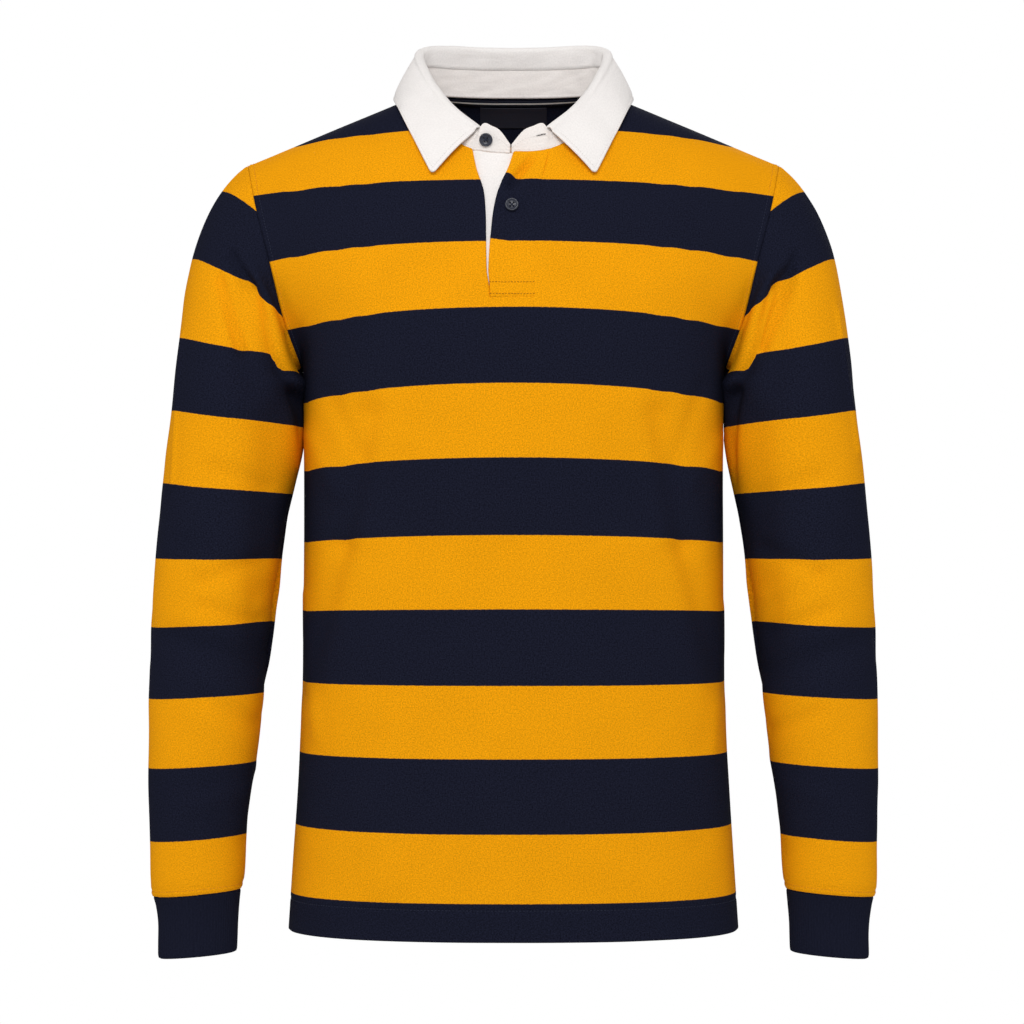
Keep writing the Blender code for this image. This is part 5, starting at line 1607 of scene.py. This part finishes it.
def leaf_path():
    """The stitch line inside the leaf's edges: down one front edge, along the outer edge and up the other."""
    row = np.interp(LEAF_STITCH, leaf_up[:, middle], np.arange(len(leaf_up)))
    last = len(leaf_rows) - 20
    first_column = np.interp(LEAF_STITCH, leaf_across[0], np.arange(leaf_across.shape[1]))
    last_column = leaf_out.shape[1] - 1 - first_column
    up_rows = np.linspace(row, last, 40)
    rows = np.concatenate([up_rows[::-1], np.full(260, row), up_rows])
    columns = np.concatenate([
        np.full(40, first_column), np.linspace(first_column, last_column, 262)[1:-1], np.full(40, last_column)])
    return on_cloth(leaf_out, leaf_cloth, rows, columns)


leaf_stitches = stitch_row(
    "leaf_stitches", [leaf_path()], white_thread, pitch=2.6, length=1.9, width=0.4)

# Buttons
# Two dark four-hole buttons of cast resin with a raised rim, each sewn on with thread through its holes.
BUTTON_DIAMETER = 11.5
BUTTON_HEIGHT = 2.6
HOLE_DIAMETER = 1.5
HOLE_SPACING = 2.9
BUTTON_LIFT = 0.6
THREAD_RADIUS = 0.2
THREAD_OFFSETS = (-0.28, 0.0, 0.28)
PLACKET_BUTTON = (-1.5, -106.0)
COLLAR_BUTTON = (-23.5, -48.5)


def resin():
    """Dark navy resin, faintly clouded, polished and a little worn."""
    material, start, shader = new_material("button_resin", 0.32, 0.45)
    place = start.node("ShaderNodeTexCoord", out=3)
    clouds = start.node("ShaderNodeTexNoise", values={"Vector": place, "Scale": 420.0, "Detail": 3.0})
    scuffs = start.node("ShaderNodeTexNoise", values={"Vector": place, "Scale": 1500.0, "Detail": 2.0})
    clouds.mixed((0.012, 0.014, 0.026, 1), (0.032, 0.036, 0.055, 1)).into(shader, "Base Color")
    (scuffs * 0.3 + 0.2).into(shader, "Roughness")
    return material


button_resin = resin()
navy_thread = plain("button_thread", (0.02, 0.023, 0.04), 0.8, 0.2)


def on_grid(outer, x, z):
    """A place in the front view on an outer face, and the way that the cloth faces there."""
    distance = np.hypot(outer[..., 0] - x, outer[..., 2] - z)
    nearest = np.unravel_index(distance.argmin(), distance.shape)
    return np.array([x, outer[nearest][1], z]), normals(outer)[nearest]


def as_mesh(bm, name, smooth=True):
    """The finished faces as a mesh, turned to face outwards."""
    bmesh.ops.recalc_face_normals(bm, faces=bm.faces)
    mesh = bpy.data.meshes.new(name)
    bm.to_mesh(mesh)
    bm.free()
    mesh.polygons.foreach_set("use_smooth", [smooth] * len(mesh.polygons))
    return mesh


def as_object(mesh):
    thing = bpy.data.objects.new(mesh.name, mesh)
    scene.collection.objects.link(thing)
    return thing


def turned_disc(name):
    """The button before it is drilled: a profile turned round its axis, with a rounded rim and a dished face."""
    radius = BUTTON_DIAMETER / 2
    profile = [
        (0, 0), (radius - 0.9, 0), (radius - 0.35, 0.25), (radius - 0.06, 0.7), (radius, 1.2),
        (radius - 0.02, BUTTON_HEIGHT - 0.9), (radius - 0.15, BUTTON_HEIGHT - 0.35),
        (radius - 0.45, BUTTON_HEIGHT - 0.06), (radius - 0.8, BUTTON_HEIGHT),
        (radius - 1.15, BUTTON_HEIGHT - 0.08), (radius - 1.45, BUTTON_HEIGHT - 0.35),
        (radius - 1.75, BUTTON_HEIGHT - 0.75), (radius - 2.3, BUTTON_HEIGHT - 1.0), (0, BUTTON_HEIGHT - 1.1),
    ]
    bm = bmesh.new()
    line = [bm.verts.new((r * MM, 0, z * MM)) for r, z in profile]
    edges = [bm.edges.new(pair) for pair in zip(line, line[1:])]
    bmesh.ops.spin(bm, geom=line + edges, cent=(0, 0, 0), axis=(0, 0, 1), angle=2 * np.pi, steps=48,
                   use_duplicate=False)
    bmesh.ops.remove_doubles(bm, verts=bm.verts, dist=0.00002)
    return as_mesh(bm, name)


def drilled(disc, holes):
    """The disc with its four holes cut through it."""
    bm = bmesh.new()
    for x, y in holes:
        bmesh.ops.create_cone(bm, cap_ends=True, segments=20, radius1=HOLE_DIAMETER / 2 * MM,
                              radius2=HOLE_DIAMETER / 2 * MM, depth=4 * BUTTON_HEIGHT * MM,
                              matrix=Matrix.Translation((x * MM, y * MM, 0)))
    drill_mesh = bpy.data.meshes.new("drill")
    bm.to_mesh(drill_mesh)
    bm.free()
    turned, drill = as_object(disc), as_object(drill_mesh)
    cut = turned.modifiers.new("Holes", "BOOLEAN")
    cut.operation, cut.solver, cut.object = "DIFFERENCE", "EXACT", drill
    bpy.context.view_layer.update()
    mesh = bpy.data.meshes.new_from_object(turned.evaluated_get(bpy.context.evaluated_depsgraph_get()))
    bpy.data.objects.remove(drill)
    bpy.data.objects.remove(turned)
    mesh.materials.clear()
    return mesh


def thread_loops(name, holes):
    """The thread over the button's face: three bent strands from each hole to the one across from it."""
    bm = bmesh.new()
    face = BUTTON_HEIGHT - 1.05
    for one, two in ((holes[0], holes[2]), (holes[1], holes[3])):
        along = unit(two - one)
        beside = np.array([-along[1], along[0]])
        for offset in THREAD_OFFSETS:
            path = []
            for t in np.linspace(0, 1, 9):
                down = 0.9 if t in (0, 1) else 0
                path.append((*(one + (two - one) * t + beside * offset), face + 0.35 * np.sin(np.pi * t) ** 0.5 - down))
            rings = []
            for i, point in enumerate(path):
                axis = unit(np.array(path[min(i + 1, 8)]) - np.array(path[max(i - 1, 0)]))
                side = unit(np.cross(axis, [0, 0, 1.0]) if abs(axis[2]) < 0.95 else np.array([*beside, 0]))
                up = np.cross(side, axis)
                rings.append([
                    bm.verts.new((np.array(point) + THREAD_RADIUS * (side * np.cos(a) + up * np.sin(a))) * MM)
                    for a in np.linspace(0, 2 * np.pi, 7)[:-1]])
            for ring, following in zip(rings, rings[1:]):
                for i in range(6):
                    bm.faces.new((ring[i], ring[(i + 1) % 6], following[(i + 1) % 6], following[i]))
            bm.faces.new(rings[0][::-1])
            bm.faces.new(rings[-1])
    return as_mesh(bm, name)


def button(node, place, normal):
    """A button on the cloth at a place, facing the way that the cloth does, with its thread."""
    turns = np.radians(45 + 90 * np.arange(4))
    holes = HOLE_SPACING / 2 ** 0.5 * np.stack([np.cos(turns), np.sin(turns)], -1)
    facing = Vector(normal.tolist()).to_track_quat("Z", "Y").to_matrix().to_4x4()
    placed = Matrix.Translation(Vector(((place + normal * BUTTON_LIFT) * MM).tolist())) @ facing
    resin_mesh = drilled(turned_disc(node + "_turned"), holes)
    resin_mesh.name = node + "_resin"
    resin_mesh.transform(placed)
    dressed(as_object(resin_mesh), node, button_resin)

    loops = thread_loops(node + "_thread", holes)
    loops.transform(placed)
    loops.materials.append(navy_thread)
    thread = as_object(loops)
    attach(thread, "root")


button("button_placket", *on_grid(top_out, *PLACKET_BUTTON))
button("button_collar", *on_grid(stand_out[:, -16:], *COLLAR_BUTTON))
